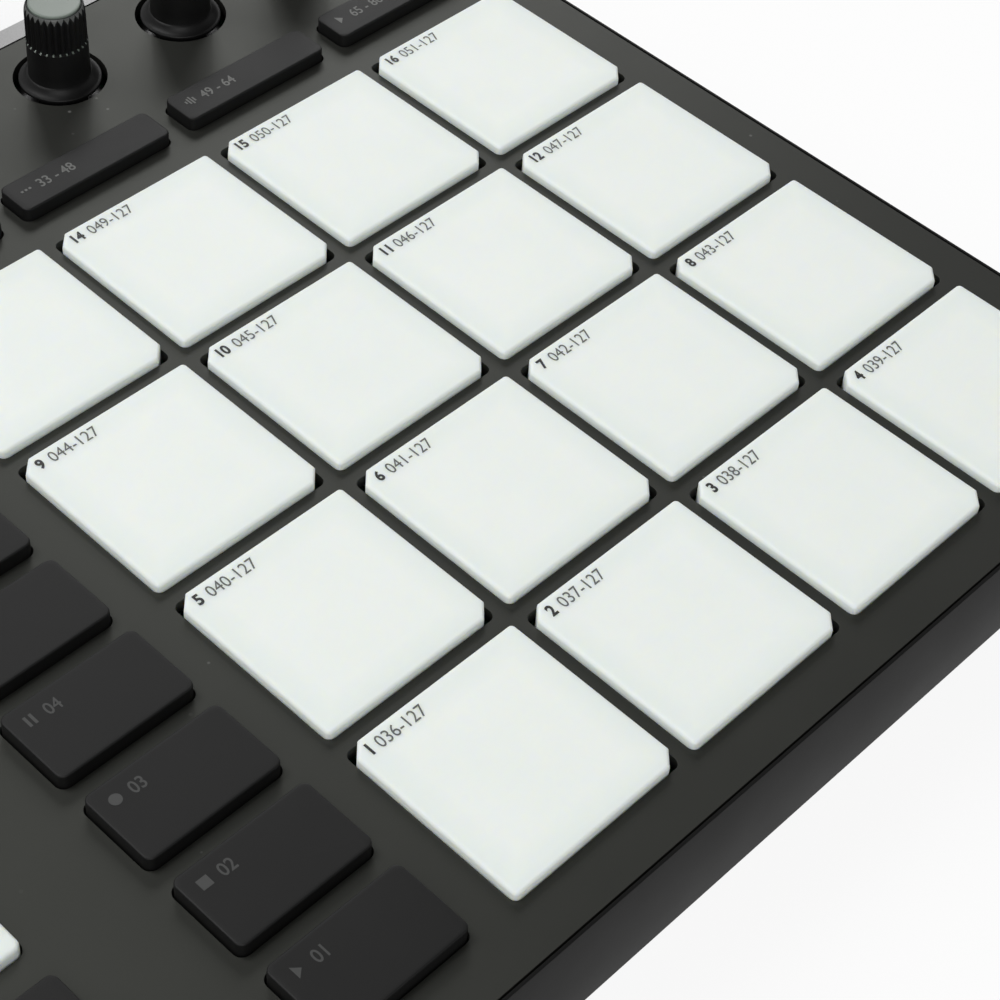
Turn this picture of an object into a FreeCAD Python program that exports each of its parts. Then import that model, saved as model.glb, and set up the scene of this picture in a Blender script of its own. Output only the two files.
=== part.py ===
import FreeCAD, Part
import math
import os

# A desktop drum machine: sixteen square pads, keys, eight encoder knobs and a
# display window on a low flat case. Millimetres, +Z up, +Y to the back; the
# origin is on the table, under the middle of the case.

# Case
CASE_W = 320.0
CASE_D = 302.0
CASE_CORNER = 5.0
CORNER_STEPS = 3
FOOT_H = 3.0
WALL = 2.2
SKIRT_WALL = 6.2
SKIRT_H = 4.6
SKIRT_IN = 4.0
PLATE_T = 2.0
LIP = 0.5
LIP_EDGE = 0.2
SEAM = 0.3

# Top panel
PANEL_TOP = 26.3
PANEL_T = 2.0
PANEL_UNDER = PANEL_TOP - PANEL_T
KEY_GAP = 0.25
FINE_EDGE = 0.15
RETAIN_GAP = 0.2

# Pads, four by four, the first at the front left
PAD_PITCH = 33.0
PAD_X0 = 37.6
PAD_Y0 = -127.4
PAD_W = 30.0
PAD_D = 29.8
PAD_RAISE = 1.6
PAD_CUT = 2.1
PAD_EDGE = 0.4
PAD_FLANGE = 1.0
PAD_BOTTOM = 21.6

# Keys
KEY_RAISE = 2.2
KEY_CORNER = 0.9
KEY_EDGE = 0.3
KEY_FLANGE = 0.8
KEY_BOTTOM = 23.1
SIDE_KEY_X = 4.3
SIDE_KEY_Y0 = -135.65
SIDE_KEY_W = 21.9
SIDE_KEY_D = 12.8
SIDE_PITCH = 16.5
MODE_KEY_Y = -3.2
MODE_KEY_W = 28.7
MODE_KEY_D = 7.0
MODE_KEY_SHIFT = -0.4

# Left block, four columns on the pads' pitch
LEFT_X0 = -137.45
LEFT_W = 28.3
GROUP_Y0 = -97.4
GROUP_D = 20.0
GROUP_PITCH = 24.0
STRIP_Y = -52.0
STRIP_D = 10.0
PERFORM_Y = -36.0
PERFORM_D = 9.0
CONTROL_X0 = -140.65
CONTROL_PITCH_X = 28.05
CONTROL_Y0 = 36.1
CONTROL_PITCH_Y = 20.0
MASTER_X = -66.0
MASTER_Y = -4.5

# Encoder knobs
KNOB_Y = 18.0
KNOB_X0 = 133.1
KNOB_PITCH = 25.575
KNOB_HOLE_R = 7.6
KNOB_HOLE_FLATS = 16
KNOB_FLATS = 24
KNOB_FLANGE_R = 7.0
KNOB_R = 5.0
KNOB_GRIP_R = 4.92
KNOB_VALLEY_R = 4.55
KNOB_TAPER = 0.985
KNOB_BEVEL_R = 4.88
KNOB_CAP_R = 4.4
KNOB_FLANGE_H = -0.3
KNOB_RIM_H = 0.15
KNOB_FOOT_H = 1.1
KNOB_GRIP_H = 7.6
KNOB_BEVEL_H = 14.0
KNOB_CAP_H = 14.7
KNOB_RIDGES = 24
SHAFT_R = 3.0
SHAFT_FIT = 0.05
SHAFT_BOTTOM = 17.4
SHAFT_FLATS = 6
CORNER_TRIM = 0.03
BORE_FLATS = 8
ENCODER_SIDE = 12.0
ENCODER_TOP = 22.6
BUSH_R = 4.6
BUSH_FLATS = 6
BUSH_TOP = 24.8

# Master knob
MASTER_R = 15.5
MASTER_VALLEY_R = 14.9
MASTER_FLANGE_R = 17.6
MASTER_HOLE_R = 18.2
MASTER_GRIP_H = 1.4
MASTER_SHOULDER_H = 10.9
MASTER_CAP_H = 12.5
MASTER_CROWN_R = 14.8
MASTER_BRIM_R = 13.8
MASTER_DISH_R = 12.0
MASTER_DISH_T = 0.8
PLUNGER_TOP_H = 8.0

# Display window and its two modules
GLASS_X0 = -64.4
GLASS_X1 = 151.6
GLASS_Y0 = 29.7
GLASS_Y1 = 104.7
GLASS_T = 1.1
GLASS_CORNER = 1.2
SCREEN_XS = (-7.55, 94.75)
SCREEN_Y = 67.2
SCREEN_W = 95.0
SCREEN_D = 54.0
MODULE_RIM = 4.0
MODULE_BOTTOM = 18.6
DISPLAY_KEY_Y = 118.0
DISPLAY_KEY_W = 21.9
DISPLAY_KEY_D = 9.0

# Boards
BOARD_T = 1.6
CONTROL_BOARD_TOP = 16.6
SENSOR_BOARD_TOP = 20.6
MAIN_BOARD_TOP = 8.2
SKIRT_TOP = MAIN_BOARD_TOP
SWITCH_SIDE = 6.0
SWITCH_TOP = 22.2
BOARD_POST = 5.0
LEG_SIDE = 4.0
CONTROL_BOARD_X = 156.0
CONTROL_BOARD_Y0 = -147.0
CONTROL_BOARD_Y1 = 122.0
MAIN_BOARD_X0 = -36.0
MAIN_BOARD_X1 = 144.0
MAIN_BOARD_Y0 = 74.0
MAIN_BOARD_Y1 = 144.0
CHIPS = ((20, 95, 16, 16), (52, 95, 12, 9), (100, 92, 10, 10))
CHIP_T = 1.4
POWER_SWITCH_Y = 138.0
POWER_SWITCH_SIDE = 7.0

# Back wall sockets, all centred at one height
SOCKET_Z = 16.0
SOCKET_FLATS = 12
HOLE_FIT = 0.1
BACK_IN = 0.4
JACK_XS = (24.0, 4.0, -16.0)
JACK_BORE_R = 3.2
JACK_BUSH_R = 5.1
JACK_DEPTH = 20.0
JACK_BLOCK_W = 13.0
JACK_BLOCK_RISE = 6.3
MIDI_XS = (78.0, 54.0)
MIDI_R = 7.5
MIDI_BLOCK_W = 18.0
MIDI_BLOCK_D = 14.0
MIDI_BLOCK_RISE = 7.6
MIDI_SLOT_R = 6.7
MIDI_CORE_R = 5.6
MIDI_SLOT_DEPTH = 8.0
MIDI_PINS = 5
MIDI_PIN_R = 3.75
MIDI_PIN_SIDE = 1.4
USB_X = 104.0
USB_W = 9.4
USB_H = 3.7
USB_CORNER = 1.2
USB_SKIN = 0.4
USB_DEPTH = 7.0
TONGUE_W = 6.6
TONGUE_T = 0.7
POWER_X = 122.0
POWER_R = 4.5
POWER_BLOCK_W = 10.0
POWER_BLOCK_D = 13.0
POWER_BLOCK_RISE = 5.0
POWER_WELL_R = 3.1
POWER_WELL_DEPTH = 10.0
POWER_PIN_R = 1.05
BUTTON_X = 138.0
BUTTON_R = 3.5
BUTTON_EDGE = 0.4
BUTTON_TAIL = 6.0
BUTTON_COLLAR = 1.0
LOCK_X = -104.5
LOCK_W = 7.0
LOCK_H = 3.0

# Screws and feet
SCREW_IN = 9.5
BOSS_R = 4.2
BOSS_TOP = 15.0
SCREW_R = 1.5
SCREW_FLATS = 6
SCREW_HEAD_R = 2.8
SCREW_HEAD_T = 1.5
FOOT_R = 9.0
FOOT_TIP_R = 8.4
FOOT_FLATS = 12
FOOT_IN = 26.0


def vec(x, y, z):
    return FreeCAD.Vector(x, y, z)


def box(x0, x1, y0, y1, z0, z1):
    return Part.makeBox(x1 - x0, y1 - y0, z1 - z0, vec(x0, y0, z0))


def centred_box(cx, cy, w, d, z0, z1):
    return box(cx - w / 2, cx + w / 2, cy - d / 2, cy + d / 2, z0, z1)


def closed(points):
    return Part.makePolygon(points + points[:1])


def stacked(rings):
    """A solid with flat faces between rings of points, each ring with the same count."""
    faces = [Part.Face(closed(rings[0])), Part.Face(closed(rings[-1]))]
    for low, high in zip(rings, rings[1:]):
        for index in range(len(low)):
            faces.append(Part.Face(closed([low[index - 1], low[index], high[index], high[index - 1]])))
    solid = Part.Solid(Part.Shell(faces))
    if solid.Volume < 0:
        solid.reverse()
    return solid


def ring(x, y, r, flats, z):
    """The corners of a regular outline with this many flats, all at radius r."""
    angles = [2 * math.pi * index / flats for index in range(flats)]
    return [vec(x + r * math.cos(angle), y + r * math.sin(angle), z) for angle in angles]


def star(x, y, tip, valley, ridges, z):
    """The corners of an outline that rises to a ridge and falls to a valley all the way round."""
    points = []
    for index in range(2 * ridges):
        angle = math.pi * index / ridges
        r = tip if index % 2 == 0 else valley
        points.append(vec(x + r * math.cos(angle), y + r * math.sin(angle), z))
    return points


def around(r, flats):
    """How far the corners of an outline reach when a circle of radius r just fits inside it."""
    return r / math.cos(math.pi / flats)


def post(x, y, r, z0, z1, flats=BORE_FLATS):
    return stacked([ring(x, y, r, flats, z0), ring(x, y, r, flats, z1)])


def keyed_shaft(x, y, z0, z1):
    """A shaft with flats that key it, its corners turned down to the bore they run in."""
    rod = Part.makeCylinder(SHAFT_R, z1 - z0, vec(x, y, z0))
    return rod.common(post(x, y, SHAFT_R + CORNER_TRIM, z0, z1, SHAFT_FLATS))


def bore(x, y, r, z0, z1, flats=BORE_FLATS):
    return post(x, y, around(r, flats), z0, z1, flats)


def outline(cx, cy, w, d, z, sizes, steps=1):
    """The corners of a rectangle whose own corners are taken off.

    The sizes run front left, front right, back right, back left. One step slices a corner
    straight off, more steps round it, and a size of zero leaves it square.
    """
    points = []
    signs = ((-1, -1), (1, -1), (1, 1), (-1, 1))
    for quarter, ((sx, sy), size) in enumerate(zip(signs, sizes)):
        x = cx + sx * (w / 2 - size)
        y = cy + sy * (d / 2 - size)
        for step in range(steps + 1 if size > 0 else 1):
            angle = math.pi * (1 + quarter / 2 + step / (2 * steps))
            points.append(vec(x + size * math.cos(angle), y + size * math.sin(angle), z))
    return points


def sliced_block(cx, cy, w, d, z0, z1, sizes, edge=0.0):
    """A block with sliced corners and, where edge isn't zero, a bevel round its top."""
    rings = [outline(cx, cy, w, d, z0, sizes), outline(cx, cy, w, d, z1 - edge, sizes)]
    if edge > 0:
        inner = [max(size - edge * (2 - math.sqrt(2)), 0) for size in sizes]
        rings.append(outline(cx, cy, w - 2 * edge, d - 2 * edge, z1, inner))
    return stacked(rings)


def case_ring(inset, z, corner_inset=None):
    """The case's outline drawn in by inset, its corners rounded less by corner_inset."""
    corner = CASE_CORNER - (inset if corner_inset is None else corner_inset)
    return outline(0, 0, CASE_W - 2 * inset, CASE_D - 2 * inset, z, (corner,) * 4, CORNER_STEPS)


def case_box(inset, z0, z1):
    return centred_box(0, 0, CASE_W - 2 * inset, CASE_D - 2 * inset, z0, z1)


def to_back(points, y):
    """Stands a flat ring up to face the back: what was its Y becomes its height."""
    return [vec(point.x, y, point.y) for point in points]


def back_post(x, z, r, y0, y1, flats=SOCKET_FLATS):
    """A post that lies along Y, as a socket in the back wall does."""
    flat = ring(x, z, r, flats, 0)
    return stacked([to_back(flat, y) for y in (y0, y1)])


def back_bore(x, z, r, y0, y1):
    return Part.makeCylinder(r, y1 - y0, vec(x, y0, z), vec(0, 1, 0))


def back_seat(x, z, r, y0, y1):
    """A flatted hole along Y, its corners turned out to the true circle round the bore in it."""
    return back_bore(x, z, r, y0, y1).common(back_post(x, z, r + CORNER_TRIM, y0, y1))


def back_slot(x, z, w, h, y0, y1):
    """A flat bar along Y with sliced corners, as the small data socket is."""
    flat = outline(x, z, w, h, 0, (USB_CORNER,) * 4)
    return stacked([to_back(flat, y) for y in (y0, y1)])


def fuse(shapes):
    return shapes[0].multiFuse(shapes[1:]).removeSplitter()


def cut(shape, tools):
    return shape.cut(Part.makeCompound(tools))


def left_columns():
    return [LEFT_X0 + PAD_PITCH * column for column in range(4)]


def pad_centres():
    return [(PAD_X0 + PAD_PITCH * (n % 4), PAD_Y0 + PAD_PITCH * (n // 4)) for n in range(16)]


def side_key_places():
    return [(SIDE_KEY_X, SIDE_KEY_Y0 + SIDE_PITCH * n, SIDE_KEY_W, SIDE_KEY_D) for n in range(8)]


def mode_key_places():
    places = [(SIDE_KEY_X, MODE_KEY_Y, SIDE_KEY_W, MODE_KEY_D)]
    for column in range(4):
        x = PAD_X0 + PAD_PITCH * column + MODE_KEY_SHIFT
        places.append((x, MODE_KEY_Y, MODE_KEY_W, MODE_KEY_D))
    return places


def transport_key_places():
    rows = (SIDE_KEY_Y0, SIDE_KEY_Y0 + SIDE_PITCH)
    return [(x, y, LEFT_W, SIDE_KEY_D) for y in rows for x in left_columns()]


def group_pad_places():
    rows = (GROUP_Y0, GROUP_Y0 + GROUP_PITCH)
    return [(x, y, LEFT_W, GROUP_D) for y in rows for x in left_columns()]


def perform_key_places():
    places = [(x, PERFORM_Y, LEFT_W, PERFORM_D) for x in left_columns()]
    for row in range(3):
        for column in range(2):
            x = CONTROL_X0 + CONTROL_PITCH_X * column
            places.append((x, MASTER_Y + SIDE_PITCH * (row - 1), SIDE_KEY_W, SIDE_KEY_D))
    return places


def control_key_places():
    places = []
    for row in range(5):
        for column in range(3):
            x = CONTROL_X0 + CONTROL_PITCH_X * column
            places.append((x, CONTROL_Y0 + CONTROL_PITCH_Y * row, SIDE_KEY_W, SIDE_KEY_D))
    return places


def display_key_places():
    return [(x, DISPLAY_KEY_Y, DISPLAY_KEY_W, DISPLAY_KEY_D) for x in knob_xs()]


def knob_xs():
    return [KNOB_X0 - KNOB_PITCH * n for n in range(7, -1, -1)]


def key_places():
    """Every key with a switch under it: centre, width and depth."""
    banks = (side_key_places(), mode_key_places(), transport_key_places())
    more = (perform_key_places(), control_key_places(), display_key_places())
    return [place for bank in banks + more for place in bank]


def screw_points():
    x = CASE_W / 2 - SCREW_IN
    y = CASE_D / 2 - SCREW_IN
    corners = [(sx * x, sy * y) for sx in (-1, 1) for sy in (-1, 1)]
    return corners + [(0, -y), (-60, y)]


def foot_points():
    x = CASE_W / 2 - FOOT_IN
    y = CASE_D / 2 - FOOT_IN
    return [(sx * x, sy * y) for sx in (-1, 1) for sy in (-1, 1)]


def board_posts():
    """Where posts on the bottom plate carry the control board."""
    front = [(x, y) for x in (-140, -50, 60, 140) for y in (-120, 20)]
    return front + [(-100, 105)]


def main_board_posts():
    return [(-30, 80), (138, 80), (-30, 132), (60, 132)]


def socket_holes():
    """What the back wall is pierced with, each a little larger than its socket."""
    y0 = CASE_D / 2 - WALL - 1
    y1 = CASE_D / 2 + 1
    flatted = [(x, MIDI_R) for x in MIDI_XS] + [(POWER_X, POWER_R), (BUTTON_X, BUTTON_R)]
    holes = [back_post(x, SOCKET_Z, r + HOLE_FIT, y0, y1) for x, r in flatted]
    holes += [back_seat(x, SOCKET_Z, JACK_BUSH_R + HOLE_FIT, y0, y1) for x in JACK_XS]
    holes.append(back_slot(USB_X, SOCKET_Z, USB_W + 2 * HOLE_FIT, USB_H + 2 * HOLE_FIT, y0, y1))
    lock_z = SOCKET_Z - LOCK_H / 2
    holes.append(box(LOCK_X - LOCK_W / 2, LOCK_X + LOCK_W / 2, y0, y1, lock_z, lock_z + LOCK_H))
    return holes


def case_frame():
    """The moulded walls: a lip round the panel, a ledge under it, and a drawn-in skirt."""
    frame = stacked([
        case_ring(SKIRT_IN, FOOT_H, 0),
        case_ring(0, FOOT_H + SKIRT_H),
        case_ring(0, PANEL_TOP - LIP_EDGE),
        case_ring(LIP_EDGE, PANEL_TOP),
    ])
    hollows = [
        case_box(SKIRT_WALL, FOOT_H - 1, SKIRT_TOP),
        case_box(WALL, SKIRT_TOP, PANEL_UNDER),
        stacked([case_ring(LIP, PANEL_UNDER), case_ring(LIP, PANEL_TOP + 1)]),
    ]
    frame = cut(frame, hollows + socket_holes())
    bosses = [post(x, y, BOSS_R, FOOT_H + PLATE_T, BOSS_TOP) for x, y in screw_points()]
    frame = fuse([frame] + bosses)
    pilots = [bore(x, y, SCREW_R + 0.05, FOOT_H, BOSS_TOP - 2) for x, y in screw_points()]
    return cut(frame, pilots)


def bottom_plate():
    """The flat plate that closes the case, with the posts that carry the boards."""
    bottom = FOOT_H + PLATE_T
    control = [(x, y, CONTROL_BOARD_TOP - BOARD_T) for x, y in board_posts()]
    main = [(x, y, MAIN_BOARD_TOP - BOARD_T) for x, y in main_board_posts()]
    plate = case_box(SKIRT_WALL + 0.2, FOOT_H, bottom)
    posts = [centred_box(x, y, BOARD_POST, BOARD_POST, bottom, top) for x, y, top in control + main]
    holes = [bore(x, y, SCREW_R + 0.2, FOOT_H - 1, bottom + 1) for x, y in screw_points()]
    return cut(fuse([plate] + posts), holes)


def top_panel():
    """The flat face plate with every cut-out in it and a rebate for the display glass."""
    inset = LIP + SEAM
    panel = stacked([case_ring(inset, PANEL_UNDER), case_ring(inset, PANEL_TOP)])
    z0 = PANEL_UNDER - 1
    z1 = PANEL_TOP + 1
    grow = 2 * KEY_GAP
    pads = [(x, y, PAD_W, PAD_D) for x, y in pad_centres()]
    tools = [centred_box(x, y, w + grow, d + grow, z0, z1)
             for x, y, w, d in pads + group_pad_places() + key_places() + [strip_place()]]
    tools += [post(x, KNOB_Y, KNOB_HOLE_R, z0, z1, KNOB_HOLE_FLATS) for x in knob_xs()]
    tools.append(post(MASTER_X, MASTER_Y, MASTER_HOLE_R, z0, z1, KNOB_FLATS))
    x, y, w, d = glass_place()
    tools.append(sliced_block(x, y, w, d, PANEL_TOP - GLASS_T, z1, (GLASS_CORNER,) * 4))
    for x in SCREEN_XS:
        tools.append(centred_box(x, SCREEN_Y, SCREEN_W + 2, SCREEN_D + 2, z0, z1))
    return cut(panel, tools)


def cap_shape(x, y, w, d, sizes, bottom, top, flange_out, edge):
    """A cap that stands through the panel, and the flange under the panel that keeps it in."""
    body = sliced_block(x, y, w, d, bottom, top, sizes, edge)
    wide = 2 * flange_out
    flange = centred_box(x, y, w + wide, d + wide, bottom, PANEL_UNDER - RETAIN_GAP)
    return fuse([body, flange])


def pad_shape(x, y):
    """One soft pad, sliced at its front right and back left corners."""
    sizes = (0, PAD_CUT, 0, PAD_CUT)
    return cap_shape(x, y, PAD_W, PAD_D, sizes, PAD_BOTTOM, PANEL_TOP + PAD_RAISE, PAD_FLANGE, PAD_EDGE)


def key_shape(x, y, w, d, corner=KEY_CORNER, edge=KEY_EDGE):
    sizes = (corner,) * 4
    return cap_shape(x, y, w, d, sizes, KEY_BOTTOM, PANEL_TOP + KEY_RAISE, KEY_FLANGE, edge)


def key_bank(places):
    return Part.makeCompound([key_shape(x, y, w, d, 0, 0) for x, y, w, d in places])


def group_pads():
    """The two rows of smaller pads, of the large pads' height and material."""
    top = PANEL_TOP + PAD_RAISE
    square = (0,) * 4
    return Part.makeCompound([cap_shape(x, y, w, d, square, PAD_BOTTOM, top, KEY_FLANGE, 0)
                              for x, y, w, d in group_pad_places()])


def knob_shape():
    """An encoder knob on the Z axis: dished flange, smooth skirt, ridged grip and bevelled cap."""
    rings = (
        (KNOB_FLANGE_R, KNOB_FLANGE_H),
        (KNOB_FLANGE_R, KNOB_RIM_H),
        (KNOB_R, KNOB_FOOT_H),
        (KNOB_GRIP_R, KNOB_GRIP_H),
    )
    skirt = stacked([ring(0, 0, r, KNOB_FLATS, PANEL_TOP + h) for r, h in rings])
    grip = stacked([
        star(0, 0, KNOB_GRIP_R, KNOB_VALLEY_R, KNOB_RIDGES, PANEL_TOP + KNOB_GRIP_H),
        star(0, 0, KNOB_GRIP_R * KNOB_TAPER, KNOB_VALLEY_R * KNOB_TAPER, KNOB_RIDGES,
             PANEL_TOP + KNOB_BEVEL_H),
    ])
    shaft = keyed_shaft(0, 0, SHAFT_BOTTOM, PANEL_TOP + KNOB_FLANGE_H)
    cap = stacked([
        ring(0, 0, KNOB_BEVEL_R, KNOB_FLATS, PANEL_TOP + KNOB_BEVEL_H),
        ring(0, 0, KNOB_CAP_R, KNOB_FLATS, PANEL_TOP + KNOB_CAP_H),
    ])
    return Part.makeCompound([fuse([skirt, grip, shaft]), cap])


def master_knob():
    """The large knob: a ridged drum on a flange, with a bevelled brim round a dish."""
    base = PANEL_TOP
    x, y = MASTER_X, MASTER_Y
    flange = stacked([
        ring(x, y, MASTER_FLANGE_R, KNOB_FLATS, base + KNOB_FLANGE_H),
        ring(x, y, MASTER_FLANGE_R, KNOB_FLATS, base + KNOB_RIM_H),
        ring(x, y, around(MASTER_R, KNOB_FLATS), KNOB_FLATS, base + MASTER_GRIP_H),
    ])
    drum = stacked([
        star(x, y, MASTER_R, MASTER_VALLEY_R, KNOB_RIDGES, base + MASTER_GRIP_H),
        star(x, y, MASTER_R, MASTER_VALLEY_R, KNOB_RIDGES, base + MASTER_SHOULDER_H),
    ])
    crown = stacked([
        ring(x, y, MASTER_CROWN_R, KNOB_FLATS, base + MASTER_SHOULDER_H),
        ring(x, y, MASTER_BRIM_R, KNOB_FLATS, base + MASTER_CAP_H),
    ])
    dish = stacked([
        ring(x, y, MASTER_DISH_R - MASTER_DISH_T, KNOB_FLATS, base + MASTER_CAP_H - MASTER_DISH_T),
        ring(x, y, MASTER_DISH_R, KNOB_FLATS, base + MASTER_CAP_H),
    ])
    hub = bore(x, y, SHAFT_R + SHAFT_FIT, base - 1, base + PLUNGER_TOP_H + 0.3)
    return cut(fuse([flange, drum, crown]), [dish, hub])


def master_plunger():
    """The shaft that the large knob turns on, and that sinks when the knob is pressed."""
    return keyed_shaft(MASTER_X, MASTER_Y, SHAFT_BOTTOM + 0.8, PANEL_TOP + PLUNGER_TOP_H)


def encoder_body(x, y):
    """One encoder: a square body on the board and a bush that guides the shaft."""
    block = centred_box(x, y, ENCODER_SIDE, ENCODER_SIDE, CONTROL_BOARD_TOP, ENCODER_TOP)
    bush = post(x, y, BUSH_R, ENCODER_TOP, BUSH_TOP, BUSH_FLATS)
    hole = bore(x, y, SHAFT_R + SHAFT_FIT, SHAFT_BOTTOM - 0.4, BUSH_TOP + 1, BUSH_FLATS)
    return fuse([block, bush]).cut(hole)


def encoder_bodies():
    bodies = [encoder_body(x, KNOB_Y) for x in knob_xs()]
    bodies.append(encoder_body(MASTER_X, MASTER_Y))
    return Part.makeCompound(bodies)


def leg(x, y, top):
    """A square leg that stands on the control board."""
    return centred_box(x, y, LEG_SIDE, LEG_SIDE, CONTROL_BOARD_TOP, top)


def glass_place():
    x = (GLASS_X0 + GLASS_X1) / 2
    y = (GLASS_Y0 + GLASS_Y1) / 2
    return (x, y, GLASS_X1 - GLASS_X0, GLASS_Y1 - GLASS_Y0)


def display_glass():
    x, y, w, d = glass_place()
    sizes = (GLASS_CORNER,) * 4
    return sliced_block(x, y, w - 0.3, d - 0.3, PANEL_TOP - GLASS_T, PANEL_TOP, sizes, FINE_EDGE)


def display_modules():
    """Two display modules: a framed body on four legs, its screen up against the glass."""
    modules = []
    for x in SCREEN_XS:
        rim_w = SCREEN_W + 2 * MODULE_RIM
        rim_d = SCREEN_D + 2 * MODULE_RIM
        body = centred_box(x, SCREEN_Y, rim_w, rim_d, MODULE_BOTTOM, PANEL_UNDER)
        screen = centred_box(x, SCREEN_Y, SCREEN_W, SCREEN_D, PANEL_UNDER, PANEL_TOP - GLASS_T)
        legs = []
        for sx in (-1, 1):
            for sy in (-1, 1):
                leg_x = x + sx * (rim_w / 2 - LEG_SIDE)
                leg_y = SCREEN_Y + sy * (rim_d / 2 - LEG_SIDE)
                legs.append(leg(leg_x, leg_y, MODULE_BOTTOM))
        modules.append(fuse([body, screen] + legs))
    return Part.makeCompound(modules)


def strip_place():
    columns = left_columns()
    return ((columns[0] + columns[3]) / 2, STRIP_Y, 3 * PAD_PITCH + LEFT_W, STRIP_D)


def touch_strip():
    """The touch strip: a bar in the panel's slot on a wider carrier below it."""
    x, y, w, d = strip_place()
    under = PANEL_UNDER - 0.8
    bar = sliced_block(x, y, w - 0.4, d - 0.4, under, PANEL_TOP + 0.3, (KEY_CORNER,) * 4, FINE_EDGE)
    carrier = centred_box(x, y, w + 3, d + 3, under, PANEL_UNDER)
    legs = [leg(leg_x, y, under) for leg_x in left_columns()]
    return fuse([bar, carrier] + legs)


def control_board():
    """The board under the whole panel, which rests on the bosses, with a switch below every key."""
    bottom = CONTROL_BOARD_TOP - BOARD_T
    switches = [centred_box(x, y, SWITCH_SIDE, SWITCH_SIDE, CONTROL_BOARD_TOP, SWITCH_TOP)
                for x, y, w, d in key_places()]
    board = box(-CONTROL_BOARD_X, CONTROL_BOARD_X, CONTROL_BOARD_Y0, CONTROL_BOARD_Y1,
                bottom, CONTROL_BOARD_TOP)
    return Part.makeCompound([board] + switches)


def sensor_board(places, grow):
    """A pressure-sensing board under a block of pads, on short legs."""
    x0 = min(x - w / 2 for x, y, w, d in places) - grow
    x1 = max(x + w / 2 for x, y, w, d in places) + grow
    y0 = min(y - d / 2 for x, y, w, d in places) - grow
    y1 = max(y + d / 2 for x, y, w, d in places) + grow
    board = box(x0, x1, y0, y1, SENSOR_BOARD_TOP - BOARD_T, SENSOR_BOARD_TOP)
    legs = []
    for x in (x0 + 3, x1 - 3):
        for y in (y0 + 3, (y0 + y1) / 2, y1 - 3):
            legs.append(leg(x, y, SENSOR_BOARD_TOP - BOARD_T))
    return fuse([board] + legs)


def pad_sensor_boards():
    pads = [(x, y, PAD_W, PAD_D) for x, y in pad_centres()]
    return Part.makeCompound([sensor_board(pads, 1.0), sensor_board(group_pad_places(), 0.5)])


def main_board():
    """The processor board under the display, with its larger chips and the power switch."""
    bottom = MAIN_BOARD_TOP - BOARD_T
    board = box(MAIN_BOARD_X0, MAIN_BOARD_X1, MAIN_BOARD_Y0, MAIN_BOARD_Y1, bottom, MAIN_BOARD_TOP)
    chips = [centred_box(x, y, w, d, MAIN_BOARD_TOP, MAIN_BOARD_TOP + CHIP_T) for x, y, w, d in CHIPS]
    switch = centred_box(BUTTON_X, POWER_SWITCH_Y, POWER_SWITCH_SIDE, POWER_SWITCH_SIDE,
                         MAIN_BOARD_TOP, SOCKET_Z + 3)
    return fuse([board, switch] + chips)


def jack_socket(x):
    """One quarter-inch jack socket: a moulded block with a round nose in the back wall."""
    wall_in = CASE_D / 2 - WALL
    back = CASE_D / 2 - BACK_IN
    block = centred_box(x, wall_in - JACK_DEPTH / 2, JACK_BLOCK_W, JACK_DEPTH,
                        MAIN_BOARD_TOP, SOCKET_Z + JACK_BLOCK_RISE)
    nose = back_post(x, SOCKET_Z, JACK_BUSH_R, wall_in, back)
    bore = back_bore(x, SOCKET_Z, JACK_BORE_R, back - JACK_DEPTH, back + 1)
    return fuse([block, nose]).cut(bore)


def jack_sockets():
    return Part.makeCompound([jack_socket(x) for x in JACK_XS])


def midi_socket(x):
    """One five-pin round socket: a face with a ring slot for the plug's shell."""
    wall_in = CASE_D / 2 - WALL
    back = CASE_D / 2 - BACK_IN
    block = centred_box(x, wall_in - MIDI_BLOCK_D / 2, MIDI_BLOCK_W, MIDI_BLOCK_D,
                        MAIN_BOARD_TOP, SOCKET_Z + MIDI_BLOCK_RISE)
    nose = back_post(x, SOCKET_Z, MIDI_R, wall_in, back)
    shell = back_post(x, SOCKET_Z, MIDI_SLOT_R, back - MIDI_SLOT_DEPTH, back + 1)
    core = back_post(x, SOCKET_Z, MIDI_CORE_R, back - MIDI_SLOT_DEPTH - 1, back - 0.6)
    body = fuse([block, nose]).cut(shell.cut(core))
    half = MIDI_PIN_SIDE / 2
    pins = []
    for step in range(MIDI_PINS):
        angle = math.pi * (1 + step / (MIDI_PINS - 1))
        pin_x = x + MIDI_PIN_R * math.cos(angle)
        pin_z = SOCKET_Z - MIDI_PIN_R * math.sin(angle)
        pins.append(box(pin_x - half, pin_x + half, back - MIDI_SLOT_DEPTH, back + 1,
                        pin_z - half, pin_z + half))
    return cut(body, pins)


def midi_sockets():
    return Part.makeCompound([midi_socket(x) for x in MIDI_XS])


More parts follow.
